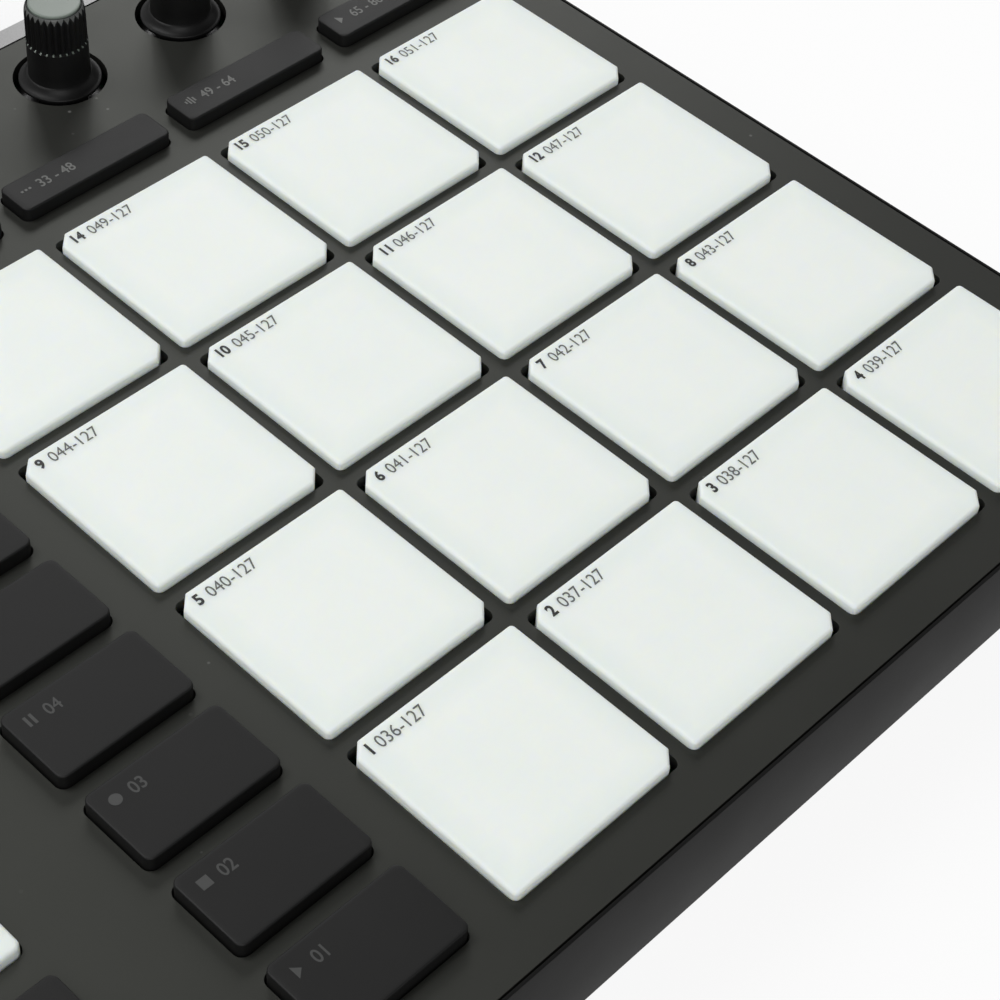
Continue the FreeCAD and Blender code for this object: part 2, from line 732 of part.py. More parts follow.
def usb_and_power_sockets():
    """The flat data socket with its tongue, and the round power socket with its pin."""
    wall_in = CASE_D / 2 - WALL
    back = CASE_D / 2 - BACK_IN
    shell = back_slot(USB_X, SOCKET_Z, USB_W, USB_H, wall_in - USB_DEPTH, back)
    mouth_in = wall_in - USB_DEPTH + 1.5
    mouth = back_slot(USB_X, SOCKET_Z, USB_W - 2 * USB_SKIN, USB_H - 2 * USB_SKIN, mouth_in, back + 1)
    tongue = box(USB_X - TONGUE_W / 2, USB_X + TONGUE_W / 2, mouth_in - 0.1, back - 1,
                 SOCKET_Z - TONGUE_T / 2, SOCKET_Z + TONGUE_T / 2)
    stand = box(USB_X - USB_W / 3, USB_X + USB_W / 3, wall_in - USB_DEPTH, wall_in - 1,
                MAIN_BOARD_TOP, SOCKET_Z - USB_H / 2 + USB_SKIN / 2)
    usb = fuse([shell, stand]).cut(mouth).fuse(tongue)
    block = centred_box(POWER_X, wall_in - POWER_BLOCK_D / 2, POWER_BLOCK_W, POWER_BLOCK_D,
                        MAIN_BOARD_TOP, SOCKET_Z + POWER_BLOCK_RISE)
    nose = back_post(POWER_X, SOCKET_Z, POWER_R, wall_in, back)
    well_in = back - POWER_WELL_DEPTH
    well = back_post(POWER_X, SOCKET_Z, POWER_WELL_R, well_in, back + 1)
    pin = back_post(POWER_X, SOCKET_Z, POWER_PIN_R, well_in - 0.5, back - 1.5, BORE_FLATS)
    power = fuse([fuse([block, nose]).cut(well), pin])
    return Part.makeCompound([usb, power])


def power_button():
    """The round button in the back wall, with a collar that keeps it in."""
    wall_in = CASE_D / 2 - WALL
    face = CASE_D / 2 - 0.1
    steps = ((BUTTON_R, wall_in - BUTTON_TAIL), (BUTTON_R, face - BUTTON_EDGE),
             (BUTTON_R - BUTTON_EDGE, face))
    rod = stacked([to_back(ring(BUTTON_X, SOCKET_Z, r, SOCKET_FLATS, 0), y) for r, y in steps])
    collar = back_post(BUTTON_X, SOCKET_Z, BUTTON_R + BUTTON_COLLAR, wall_in - 1.6, wall_in - 0.3)
    return fuse([rod, collar])


def rubber_feet():
    """Four round rubber feet that narrow to the table."""
    feet = [stacked([ring(x, y, FOOT_TIP_R, FOOT_FLATS, 0), ring(x, y, FOOT_R, FOOT_FLATS, FOOT_H)])
            for x, y in foot_points()]
    return Part.makeCompound(feet)


def base_screw(x, y):
    """One screw: its head under the plate, its shank up through the plate into a boss."""
    head = post(x, y, SCREW_HEAD_R, FOOT_H - SCREW_HEAD_T, FOOT_H)
    shank = post(x, y, SCREW_R, FOOT_H, BOSS_TOP - 3, SCREW_FLATS)
    return fuse([head, shank])


def base_screws():
    return Part.makeCompound([base_screw(x, y) for x, y in screw_points()])


def build():
    """Every node of the drum machine by name."""
    nodes = {
        "case_frame": case_frame(),
        "bottom_plate": bottom_plate(),
        "top_panel": top_panel(),
        "display_glass": display_glass(),
        "display_modules": display_modules(),
        "touch_strip": touch_strip(),
        "control_board": control_board(),
        "pad_sensor_boards": pad_sensor_boards(),
        "main_board": main_board(),
        "encoder_bodies": encoder_bodies(),
        "jack_sockets": jack_sockets(),
        "midi_sockets": midi_sockets(),
        "usb_and_power_sockets": usb_and_power_sockets(),
        "rubber_feet": rubber_feet(),
        "base_screws": base_screws(),
        "power_button": power_button(),
        "master_knob": master_knob(),
        "master_plunger": master_plunger(),
        "transport_keys": key_bank(transport_key_places()),
        "group_pads": group_pads(),
        "perform_keys": key_bank(perform_key_places()),
        "control_keys": key_bank(control_key_places()),
        "display_keys": key_bank(display_key_places()),
    }
    for number, (x, y) in enumerate(pad_centres(), 1):
        nodes[f"pad_{number:02d}"] = pad_shape(x, y)
    for number, (x, y, w, d) in enumerate(side_key_places(), 1):
        nodes[f"side_key_{number}"] = key_shape(x, y, w, d)
    for number, (x, y, w, d) in enumerate(mode_key_places(), 1):
        nodes[f"mode_key_{number}"] = key_shape(x, y, w, d)
    knob = knob_shape()
    for number, x in enumerate(knob_xs(), 1):
        nodes[f"knob_{number}"] = knob.translated(vec(x, KNOB_Y, 0))
    return nodes


def main():
    os.makedirs("parts", exist_ok=True)
    for name, shape in build().items():
        if not shape.isValid():
            raise ValueError(f"{name} is not a valid solid")
        shape.exportStep(f"parts/{name}.step")
        print(name, len(shape.Solids), "solids", round(shape.Volume), "mm3")


main()
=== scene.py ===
"""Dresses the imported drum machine: finishes, soft-edged caps, knobs, legends, studio and camera."""

from __future__ import annotations

import logging
import math
from dataclasses import dataclass, field
from enum import Enum

import bmesh
import bpy
from mathutils import Matrix, Vector

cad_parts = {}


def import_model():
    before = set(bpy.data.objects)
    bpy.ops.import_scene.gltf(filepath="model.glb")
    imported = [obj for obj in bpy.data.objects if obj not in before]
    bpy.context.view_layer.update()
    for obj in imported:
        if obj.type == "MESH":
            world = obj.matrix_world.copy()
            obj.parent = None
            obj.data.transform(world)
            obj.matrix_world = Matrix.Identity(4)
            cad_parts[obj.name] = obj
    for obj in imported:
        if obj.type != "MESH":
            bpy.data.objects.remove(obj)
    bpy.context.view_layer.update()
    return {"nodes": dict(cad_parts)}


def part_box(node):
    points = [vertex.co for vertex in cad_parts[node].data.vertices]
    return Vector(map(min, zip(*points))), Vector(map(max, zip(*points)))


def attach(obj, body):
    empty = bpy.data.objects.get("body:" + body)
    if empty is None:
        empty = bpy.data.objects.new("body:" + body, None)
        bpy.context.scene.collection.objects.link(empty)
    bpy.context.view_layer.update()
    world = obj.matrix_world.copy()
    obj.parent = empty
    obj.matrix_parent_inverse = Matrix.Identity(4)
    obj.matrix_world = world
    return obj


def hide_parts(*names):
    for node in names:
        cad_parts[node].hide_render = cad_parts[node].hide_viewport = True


LOG = logging.getLogger("drum_machine")
MM = 0.001
PANEL_Z = 26.3 * MM
LEAST_RADIUS = 0.04 * MM
FIGURE_WIDTH = 0.88

Colour = tuple[float, float, float]
Point = tuple[float, float]
Spot = tuple[float, float, float]
Place = tuple[float, float, float, float]
Socket = bpy.types.NodeSocket


class Corner(Enum):
    """How the front right and back left corners of a cap are shaped."""

    ROUND = "round"
    CUT = "cut"


class Icon(Enum):
    """The plain signs that stand on the key caps."""

    PLAY = "play"
    STOP = "stop"
    RECORD = "record"
    PAUSE = "pause"
    BACK = "back"
    SKIP = "skip"
    PLUS = "plus"
    MINUS = "minus"
    GRID = "grid"
    BARS = "bars"
    DOTS = "dots"
    WAVE = "wave"


class NodeSheet:
    """A material's node tree with a principled shader and short calls to add to it."""

    def __init__(self, name: str) -> None:
        """Starts a material.

        Args:
            name: The material's name.
        """
        self.material = bpy.data.materials.new(name)
        self.material.use_nodes = True
        self.tree = self.material.node_tree
        self.shader = self.tree.nodes["Principled BSDF"]
        self.place = self.tree.nodes.new("ShaderNodeTexCoord").outputs["Object"]

    def feed(self, socket: Socket, value: object) -> None:
        """Joins another socket to an input, or sets a constant on it."""
        if isinstance(value, bpy.types.NodeSocket):
            self.tree.links.new(value, socket)
        else:
            socket.default_value = value

    def put(self, socket: str, value: float | Colour) -> None:
        """Sets a constant on the shader's own socket."""
        target = self.shader.inputs[socket]
        target.default_value = (*value, 1.0) if target.type == "RGBA" else value

    def link(self, out: Socket, socket: str) -> None:
        """Joins an output to one of the shader's sockets."""
        self.tree.links.new(out, self.shader.inputs[socket])

    def add(self, kind: str, **inputs: object) -> bpy.types.Node:
        """Adds a node.

        Args:
            kind: The node's type name.
            **inputs: Values or sockets for its inputs, by name with _ for a space.

        Returns:
            The new node.
        """
        node = self.tree.nodes.new(kind)
        for name, value in inputs.items():
            self.feed(node.inputs[name.replace("_", " ")], value)
        return node

    def calc(self, operation: str, *values: float | Socket) -> Socket:
        """Gives the result of one sum on numbers or sockets."""
        node = self.tree.nodes.new("ShaderNodeMath")
        node.operation = operation
        for socket, value in zip(node.inputs, values):
            self.feed(socket, value)
        return node.outputs[0]

    def noise(self, scale: float, detail: float = 2.0, rough: float = 0.5) -> Socket:
        """Gives a noise value in the object's own space, at scale cells to a metre."""
        node = self.add("ShaderNodeTexNoise", Vector=self.place, Scale=scale, Detail=detail, Roughness=rough)
        return node.outputs["Fac"]

    def spread(self, value: Socket, low: float, high: float, start: float = 0.3, end: float = 0.7) -> Socket:
        """Maps a 0 to 1 value onto a range.

        Args:
            value: What is mapped.
            low: The result at start.
            high: The result at end.
            start: The value that gives low.
            end: The value that gives high.

        Returns:
            The mapped value.
        """
        node = self.add("ShaderNodeMapRange", Value=value, From_Min=start, From_Max=end, To_Min=low,
                        To_Max=high)
        return node.outputs["Result"]

    def mix(self, share: Socket, first: Colour | Socket, second: Colour | Socket) -> Socket:
        """Gives a colour that goes from the first to the second by share."""
        node = self.tree.nodes.new("ShaderNodeMix")
        node.data_type = "RGBA"
        self.feed(node.inputs["Factor"], share)
        ends = [socket for socket in node.inputs if socket.type == "RGBA"]
        for end, colour in zip(ends, (first, second)):
            self.feed(end, (*colour, 1.0) if isinstance(colour, tuple) else colour)
        return next(socket for socket in node.outputs if socket.type == "RGBA")

    def rim_share(self, width: float) -> Socket:
        """Gives 0 on the outline of a square piece and 1 further in than width, a share of its side."""
        coord = self.add("ShaderNodeTexCoord")
        split = self.add("ShaderNodeSeparateXYZ", Vector=coord.outputs["Generated"])
        sides = [self.calc("PINGPONG", split.outputs[axis], 0.5) for axis in ("X", "Y")]
        return self.spread(self.calc("MINIMUM", *sides), 0.0, 1.0, 0.0, width)

    def bump(self, height: Socket, depth: float) -> Socket:
        """Gives a normal for a height field from 0 to 1, where 1 is depth metres deep."""
        return self.add("ShaderNodeBump", Strength=1.0, Distance=depth, Height=height).outputs["Normal"]


@dataclass(frozen=True)
class MouldedFinish:
    """A satin or matt black moulding or paint: fine grain, patchy gloss, faint wear."""

    name: str
    colour: Colour
    worn: Colour
    rough: float
    swing: float = 0.05
    grain: float = 2600.0
    grain_depth: float = 0.000012
    specular: float = 0.5
    dust: float = 0.0
    tint: Colour = (1.0, 1.0, 1.0)
    speck: Colour = (0.35, 0.35, 0.34)

    def make(self) -> bpy.types.Material:
        """Builds the material."""
        sheet = NodeSheet(self.name)
        cloudy = sheet.noise(45.0, 4.0, 0.6)
        fine = sheet.noise(self.grain, 3.0, 0.6)
        shade = sheet.mix(sheet.spread(cloudy, 0.0, 1.0, 0.35, 0.75), self.colour, self.worn)
        if self.dust > 0.0:
            specks = sheet.add("ShaderNodeTexVoronoi", Vector=sheet.place, Scale=260.0)
            near = sheet.spread(specks.outputs["Distance"], 1.0, 0.0, 0.05, 0.09)
            chance = sheet.spread(sheet.noise(60.0), 0.0, self.dust, 0.58, 0.66)
            shade = sheet.mix(sheet.calc("MULTIPLY", near, chance), shade, self.speck)
        sheet.link(shade, "Base Color")
        sheet.link(sheet.spread(cloudy, self.rough - self.swing, self.rough + self.swing), "Roughness")
        sheet.put("Specular IOR Level", self.specular)
        sheet.put("Specular Tint", self.tint)
        sheet.link(sheet.bump(fine, self.grain_depth), "Normal")
        return sheet.material


@dataclass(frozen=True)
class SiliconeFinish:
    """Milky translucent silicone, its tone patchy at random, with painted shade that darkens it towards its
    outline.
    """

    name: str = "milky_silicone"
    colour: Colour = (0.86, 0.90, 0.865)
    deep: Colour = (0.84, 0.885, 0.85)
    # rim: painted shade, a darker colour laid along the pad's outline
    rim: Colour = (0.79, 0.845, 0.815)
    rim_width: float = 0.16
    rough: float = 0.6

    def make(self) -> bpy.types.Material:
        """Builds the material."""
        sheet = NodeSheet(self.name)
        cloudy = sheet.noise(70.0, 3.0, 0.5)
        fine = sheet.noise(3200.0, 2.0, 0.5)
        inner = sheet.mix(sheet.spread(cloudy, 0.0, 1.0), self.colour, self.deep)
        # painted shade: the rim colour lies on the outline and fades to the inner colour over a share of the
        # side
        sheet.link(sheet.mix(sheet.rim_share(self.rim_width), self.rim, inner), "Base Color")
        sheet.link(sheet.spread(cloudy, self.rough - 0.05, self.rough + 0.05), "Roughness")
        sheet.put("Subsurface Weight", 0.8)
        sheet.put("Subsurface Radius", (1.0, 0.92, 0.7))
        sheet.put("Subsurface Scale", 0.0016)
        sheet.put("Specular IOR Level", 0.22)
        sheet.link(sheet.bump(fine, 0.000006), "Normal")
        return sheet.material


@dataclass(frozen=True)
class GlassFinish:
    """Polished dark glass over the displays, with a trace of smear in its gloss."""

    name: str = "display_glass_dark"

    def make(self) -> bpy.types.Material:
        """Builds the material."""
        sheet = NodeSheet(self.name)
        smear = sheet.noise(30.0, 3.0, 0.6)
        sheet.link(sheet.mix(smear, (0.008, 0.008, 0.009), (0.013, 0.013, 0.014)), "Base Color")
        sheet.link(sheet.spread(smear, 0.02, 0.06), "Roughness")
        sheet.put("Coat Weight", 0.6)
        sheet.put("Coat Roughness", 0.02)
        sheet.link(sheet.bump(sheet.noise(400.0), 0.000001), "Normal")
        return sheet.material


@dataclass(frozen=True)
class MetalFinish:
    """Plated or spun metal with fine drawn lines."""

    name: str
    colour: Colour
    rough: float
    lines: float = 900.0

    def make(self) -> bpy.types.Material:
        """Builds the material."""
        sheet = NodeSheet(self.name)
        stretch = sheet.add("ShaderNodeMapping", Vector=sheet.place)
        stretch.inputs["Scale"].default_value = (1.0, 1.0, 12.0)
        drawn = sheet.add("ShaderNodeTexNoise", Vector=stretch.outputs["Vector"], Scale=self.lines,
                          Detail=3.0)
        value = drawn.outputs["Fac"]
        darker = tuple(0.75 * c for c in self.colour)
        sheet.link(sheet.mix(sheet.spread(value, 0.0, 1.0), self.colour, darker), "Base Color")
        sheet.put("Metallic", 1.0)
        sheet.link(sheet.spread(value, self.rough - 0.08, self.rough + 0.08), "Roughness")
        sheet.link(sheet.bump(value, 0.000004), "Normal")
        return sheet.material


@dataclass(frozen=True)
class BoardFinish:
    """A green circuit board with fine tracks under its mask."""

    name: str = "board_mask"

    def make(self) -> bpy.types.Material:
        """Builds the material."""
        sheet = NodeSheet(self.name)
        cells = sheet.add("ShaderNodeTexVoronoi", Vector=sheet.place, Scale=350.0)
        cells.distance = "MANHATTAN"
        tracks = sheet.spread(cells.outputs["Distance"], 0.0, 1.0, 0.30, 0.36)
        sheet.link(sheet.mix(tracks, (0.010, 0.060, 0.028), (0.016, 0.090, 0.040)), "Base Color")
        sheet.link(sheet.spread(sheet.noise(300.0), 0.28, 0.42), "Roughness")
        sheet.link(sheet.bump(tracks, 0.00002), "Normal")
        return sheet.material


@dataclass(frozen=True)
class InkFinish:
    """Printed ink, its colour a little uneven where it was laid down."""

    name: str
    colour: Colour
    rough: float = 0.55

    def make(self) -> bpy.types.Material:
        """Builds the material."""
        sheet = NodeSheet(self.name)
        patchy = sheet.noise(5000.0, 2.0, 0.5)
        paler = tuple(min(1.0, 1.25 * c + 0.004) for c in self.colour)
        sheet.link(sheet.mix(patchy, self.colour, paler), "Base Color")
        sheet.link(sheet.spread(patchy, self.rough - 0.05, self.rough + 0.05), "Roughness")
        sheet.link(sheet.bump(patchy, 0.000003), "Normal")
        return sheet.material


@dataclass(frozen=True)
class Outline:
    """A cap's outline about its own centre, in metres, with small arcs at every turn."""

    width: float
    depth: float
    radius: float
    corner: Corner = Corner.ROUND
    cut: float = 0.0
    cut_radius: float = 0.35 * MM
    segments: int = 5

    def turns(self) -> list[tuple[Point, float]]:
        """Gives the outline's corner points in order, each with its radius."""
        w = self.width / 2
        d = self.depth / 2
        if self.corner is Corner.ROUND:
            return [(corner, self.radius) for corner in ((-w, -d), (w, -d), (w, d), (-w, d))]
        return [
            ((-w, -d), self.radius),
            ((w - self.cut, -d), self.cut_radius),
            ((w, -d + self.cut), self.cut_radius),
            ((w, d), self.radius),
            ((-w + self.cut, d), self.cut_radius),
            ((-w, d - self.cut), self.cut_radius),
        ]

    def ring(self, inset: float) -> list[Point]:
        """Gives the outline drawn in by inset, as points; every ring has the same count."""
        turns = self.turns()
        count = len(turns)
        lines = []
        for index in range(count):
            (x0, y0), (x1, y1) = turns[index][0], turns[(index + 1) % count][0]
            length = math.hypot(x1 - x0, y1 - y0)
            nx = -(y1 - y0) / length
            ny = (x1 - x0) / length
            lines.append((nx, ny, nx * x0 + ny * y0 + inset))
        points = []
        for index, (_, radius) in enumerate(turns):
            points.extend(self.arc(lines[index - 1], lines[index], max(radius - inset, LEAST_RADIUS)))
        return points

    def arc(self, first: Spot, second: Spot, radius: float) -> list[Point]:
        """Rounds the corner between two edge lines.

        Args:
            first: The edge before, as its inward normal and its distance along it.
            second: The edge after, in the same form.
            radius: The arc's radius.

        Returns:
            The arc's points, in order round the outline.
        """
        a0, b0, c0 = first[0], first[1], first[2] + radius
        a1, b1, c1 = second[0], second[1], second[2] + radius
        det = a0 * b1 - a1 * b0
        cx = (c0 * b1 - c1 * b0) / det
        cy = (a0 * c1 - a1 * c0) / det
        start = math.atan2(-b0, -a0)
        sweep = (math.atan2(-b1, -a1) - start) % (2 * math.pi)
        points = []
        for step in range(self.segments + 1):
            angle = start + sweep * step / self.segments
            points.append((cx + radius * math.cos(angle), cy + radius * math.sin(angle)))
        return points


@dataclass(frozen=True)
class Cap:
    """A cap that stands through the panel: walls, a rounded edge and a barely crowned top."""

    outline: Outline
    foot: float
    top: float
    edge: float
    crown: float = 0.0
    edge_steps: int = 5
    shares: tuple[float, ...] = (0.94, 0.86, 0.7, 0.45, 0.15)

    def rings(self) -> list[Point]:
        """Gives the walls and the rounded edge from foot to top as (inset, height) pairs."""
        section = [(0.0, self.foot), (0.0, self.top - self.edge)]
        for step in range(1, self.edge_steps + 1):
            angle = math.pi / 2 * step / self.edge_steps
            section.append((self.edge * (1 - math.cos(angle)), self.top - self.edge * (1 - math.sin(angle))))
        return section

    def add_to(self, bm: bmesh.types.BMesh, x: float, y: float) -> None:
        """Adds the cap to a mesh, centred on x, y."""
        rings = [[(x + px, y + py, z) for px, py in self.outline.ring(inset)] for inset, z in self.rings()]
        rim = self.outline.ring(self.edge)
        for share in self.shares:
            z = self.top + self.crown * (1 - share ** 2)
            rings.append([(x + share * px, y + share * py, z) for px, py in rim])
        stack_rings(bm, rings)


def bridge(bm: bmesh.types.BMesh, low: list[bmesh.types.BMVert], high: list[bmesh.types.BMVert]) -> None:
    """Joins two closed rings of the same count with quads that face outwards."""
    count = len(low)
    for index in range(count):
        after = (index + 1) % count
        bm.faces.new((low[index], low[after], high[after], high[index]))


def stack_rings(bm: bmesh.types.BMesh, rings: list[list[Spot]]) -> None:
    """Adds a closed solid through rings of the same count, from its lower end to its upper end."""
    previous: list[bmesh.types.BMVert] = []
    for points in rings:
        ring = [bm.verts.new(point) for point in points]
        if previous:
            bridge(bm, previous, ring)
        else:
            bm.faces.new(list(reversed(ring)))
        previous = ring
    bm.faces.new(previous)


def round_ring(middle: Vector, radius: float, along: float, count: int, to_back: bool) -> list[Spot]:
    """Gives points round an upright axis, or round one that runs towards the back."""
    ring = []
    for index in range(count):
        angle = 2 * math.pi * index / count
        across = radius * math.cos(angle)
        other = radius * math.sin(angle)
        if to_back:
            ring.append((middle.x + across, along, middle.z - other))
        else:
            ring.append((middle.x + across, middle.y + other, along))
    return ring


def new_object(name: str, mesh: bpy.types.Mesh, sharp_deg: float | None = None) -> bpy.types.Object:
    """Links a new object with the mesh, smooth but for edges that turn by more than an angle."""
    if sharp_deg is not None:
        mesh.shade_smooth()
        mesh.set_sharp_from_angle(angle=math.radians(sharp_deg))
    obj = bpy.data.objects.new(name, mesh)
    bpy.context.scene.collection.objects.link(obj)
    return obj


def mesh_of_curve(curve: bpy.types.Curve, finish: bpy.types.Material) -> bpy.types.Mesh:
    """Turns curve data into a mesh with a finish, and removes the curve."""
    holder = new_object(curve.name, curve)
    bpy.context.view_layer.update()
    mesh = bpy.data.meshes.new_from_object(holder)
    bpy.data.objects.remove(holder)
    bpy.data.curves.remove(curve)
    mesh.materials.clear()
    mesh.materials.append(finish)
    return mesh


def finish_mesh(name: str, bm: bmesh.types.BMesh, finish: bpy.types.Material,
                sharp_deg: float = 40.0) -> bpy.types.Object:
    """Turns a bmesh into a smooth-shaded object.

    Args:
        name: The object's name.
        bm: The mesh, which is freed.
        finish: Its material.
        sharp_deg: Edges that turn by more than this stay sharp.

    Returns:
        The object, linked to the scene.
    """
    mesh = bpy.data.meshes.new(name)
    bm.normal_update()
    bm.to_mesh(mesh)
    bm.free()
    mesh.materials.append(finish)
    return new_object(name, mesh, sharp_deg)


def turned(bm: bmesh.types.BMesh, middle: Vector, profile: list[Point], count: int = 64,
           to_back: bool = False) -> None:
    """Adds a closed turned solid whose profile runs from its lower end to its upper end.

    Args:
        bm: The mesh it is added to.
        middle: Where its axis passes; the height or depth there isn't used.
        profile: Its radii and places along the axis.
        count: How many flats go round it.
        to_back: Whether the axis runs towards the back and not upwards.
    """
    stack_rings(bm, [round_ring(middle, radius, along, count, to_back) for radius, along in profile])


def carved(name: str, body: bmesh.types.BMesh, cutters: bmesh.types.BMesh,
           finish: bpy.types.Material, sharp_deg: float = 35.0) -> bpy.types.Object:
    """Takes one mesh out of another and gives what is left.

    Args:
        name: The object's name.
        body: What is cut, which is freed.
        cutters: What is taken away, which is freed.
        finish: The material of what is left.
        sharp_deg: Edges that turn by more than this stay sharp.

    Returns:
        The object, linked to the scene.
    """
    solid = finish_mesh(name, body, finish)
    tool = finish_mesh(f"{name}_cutter", cutters, finish)
    modifier = solid.modifiers.new("carve", "BOOLEAN")
    modifier.operation = "DIFFERENCE"
    modifier.solver = "EXACT"
    modifier.use_self = True
    modifier.object = tool
    bpy.context.view_layer.update()
    graph = bpy.context.evaluated_depsgraph_get()
    mesh = bpy.data.meshes.new_from_object(solid.evaluated_get(graph))
    solid.modifiers.clear()
    solid.data = mesh
    mesh.shade_smooth()
    mesh.set_sharp_from_angle(angle=math.radians(sharp_deg))
    bpy.data.objects.remove(tool)
    return solid


def dress_node(node: bpy.types.Object, finish: bpy.types.Material) -> None:
    """Gives a CAD node its finish in every material slot."""
    if not node.material_slots:
        node.data.materials.append(finish)
    for material_slot in node.material_slots:
        material_slot.material = finish


def centre_of(node: str) -> Vector:
    """Gives the middle of a CAD node's box at rest."""
    low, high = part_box(node)
    return (low + high) / 2


def place_of(node: str, inset: float = 0.0) -> Place:
    """Gives the centre, width and depth of a CAD node's box, drawn in all round."""
    low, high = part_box(node)
    return ((low.x + high.x) / 2, (low.y + high.y) / 2, high.x - low.x - 2 * inset,
            high.y - low.y - 2 * inset)


def flat_polygon(bm: bmesh.types.BMesh, points: list[Point], z: float) -> None:
    """Adds a flat face that looks up."""
    bm.faces.new([bm.verts.new((x, y, z)) for x, y in points])


def bar_points(x: float, y: float, w: float, h: float) -> list[Point]:
    """Gives a bar's corners from its lower left corner, anticlockwise."""
    return [(x, y), (x + w, y), (x + w, y + h), (x, y + h)]


def grey(tone: float) -> Colour:
    """Gives a neutral colour."""
    return (tone, tone, tone)


@dataclass
class Finishes:
    """Every finish of the machine, made once."""

    made: dict[str, bpy.types.Material] = field(default_factory=dict)

    def make_all(self) -> None:
        """Builds the materials and keeps them by a maker's short name."""
        recipes = {
            "panel": MouldedFinish("panel_satin_black", (0.0090, 0.0090, 0.0080), (0.0110, 0.0110, 0.0098),
                                   0.50, 0.02, 3200.0, 0.000006, 0.5, 0.25, (0.96, 1.0, 0.90)),
            "bezel": MouldedFinish("bezel_gloss_black", grey(0.010), grey(0.012), 0.24,
                                   0.01, 3200.0, 0.000002),
            "case": MouldedFinish("case_satin_black", (0.0065, 0.0065, 0.0063), (0.0085, 0.0085, 0.0082),
                                  0.55, 0.03, 2400.0, 0.00001, 0.12),
            "plate": MouldedFinish("plate_powder_coat", grey(0.022), grey(0.03), 0.55,
                                   0.05, 1400.0, 0.00004),
            "key": MouldedFinish("key_soft_black", (0.0052, 0.0052, 0.0051), (0.0068, 0.0068, 0.0066), 0.52,
                                 0.03, 2800.0, 0.000006, 0.27),
            "knob": MouldedFinish("knob_black", grey(0.0045), grey(0.006), 0.42,
                                  0.05, 3600.0, 0.000006, 0.2),
            "cap": MouldedFinish("knob_cap_grey", (0.142, 0.172, 0.147), (0.165, 0.195, 0.170), 0.40,
                                 0.05, 3000.0, 0.000006),
            # painted highlight: a lighter grey laid on the knobs' chamfered ridge ends
            "rim": MouldedFinish("knob_ridge_highlight_grey", (0.060, 0.063, 0.060), (0.085, 0.088, 0.084), 0.42,
                                 0.05, 3000.0, 0.000006),
            "strip": MouldedFinish("strip_satin", grey(0.012), grey(0.016), 0.30,
                                   0.04, 3600.0, 0.000004),
            "foot": MouldedFinish("foot_rubber", grey(0.016), grey(0.022), 0.75,
                                  0.08, 1800.0, 0.00003, 0.3),
            "socket": MouldedFinish("socket_moulding", grey(0.012), grey(0.016), 0.34,
                                    0.06, 2600.0, 0.000008),
            "screen": MouldedFinish("screen_dark", (0.010, 0.011, 0.013), (0.013, 0.014, 0.016), 0.2,
                                    0.04, 2600.0, 0.000002),
            "pad": SiliconeFinish(),
            "glass": GlassFinish(),
            "metal": MetalFinish("plated_steel", (0.56, 0.56, 0.55), 0.32),
            "screw": MetalFinish("blackened_steel", (0.08, 0.08, 0.085), 0.38),
            "board": BoardFinish(),
            "ink": InkFinish("ink_black", grey(0.012)),
            "ink_grey": InkFinish("ink_grey", (0.09, 0.095, 0.09)),
            "legend": InkFinish("legend_faint", (0.032, 0.033, 0.032)),
            "legend_clear": InkFinish("legend_clear", (0.095, 0.097, 0.092)),
        }
        for key, recipe in recipes.items():
            self.made[key] = recipe.make()
        LOG.info("finishes made: %d", len(self.made))

    def __getitem__(self, key: str) -> bpy.types.Material:
        """Gives a finish by its short name."""
        return self.made[key]


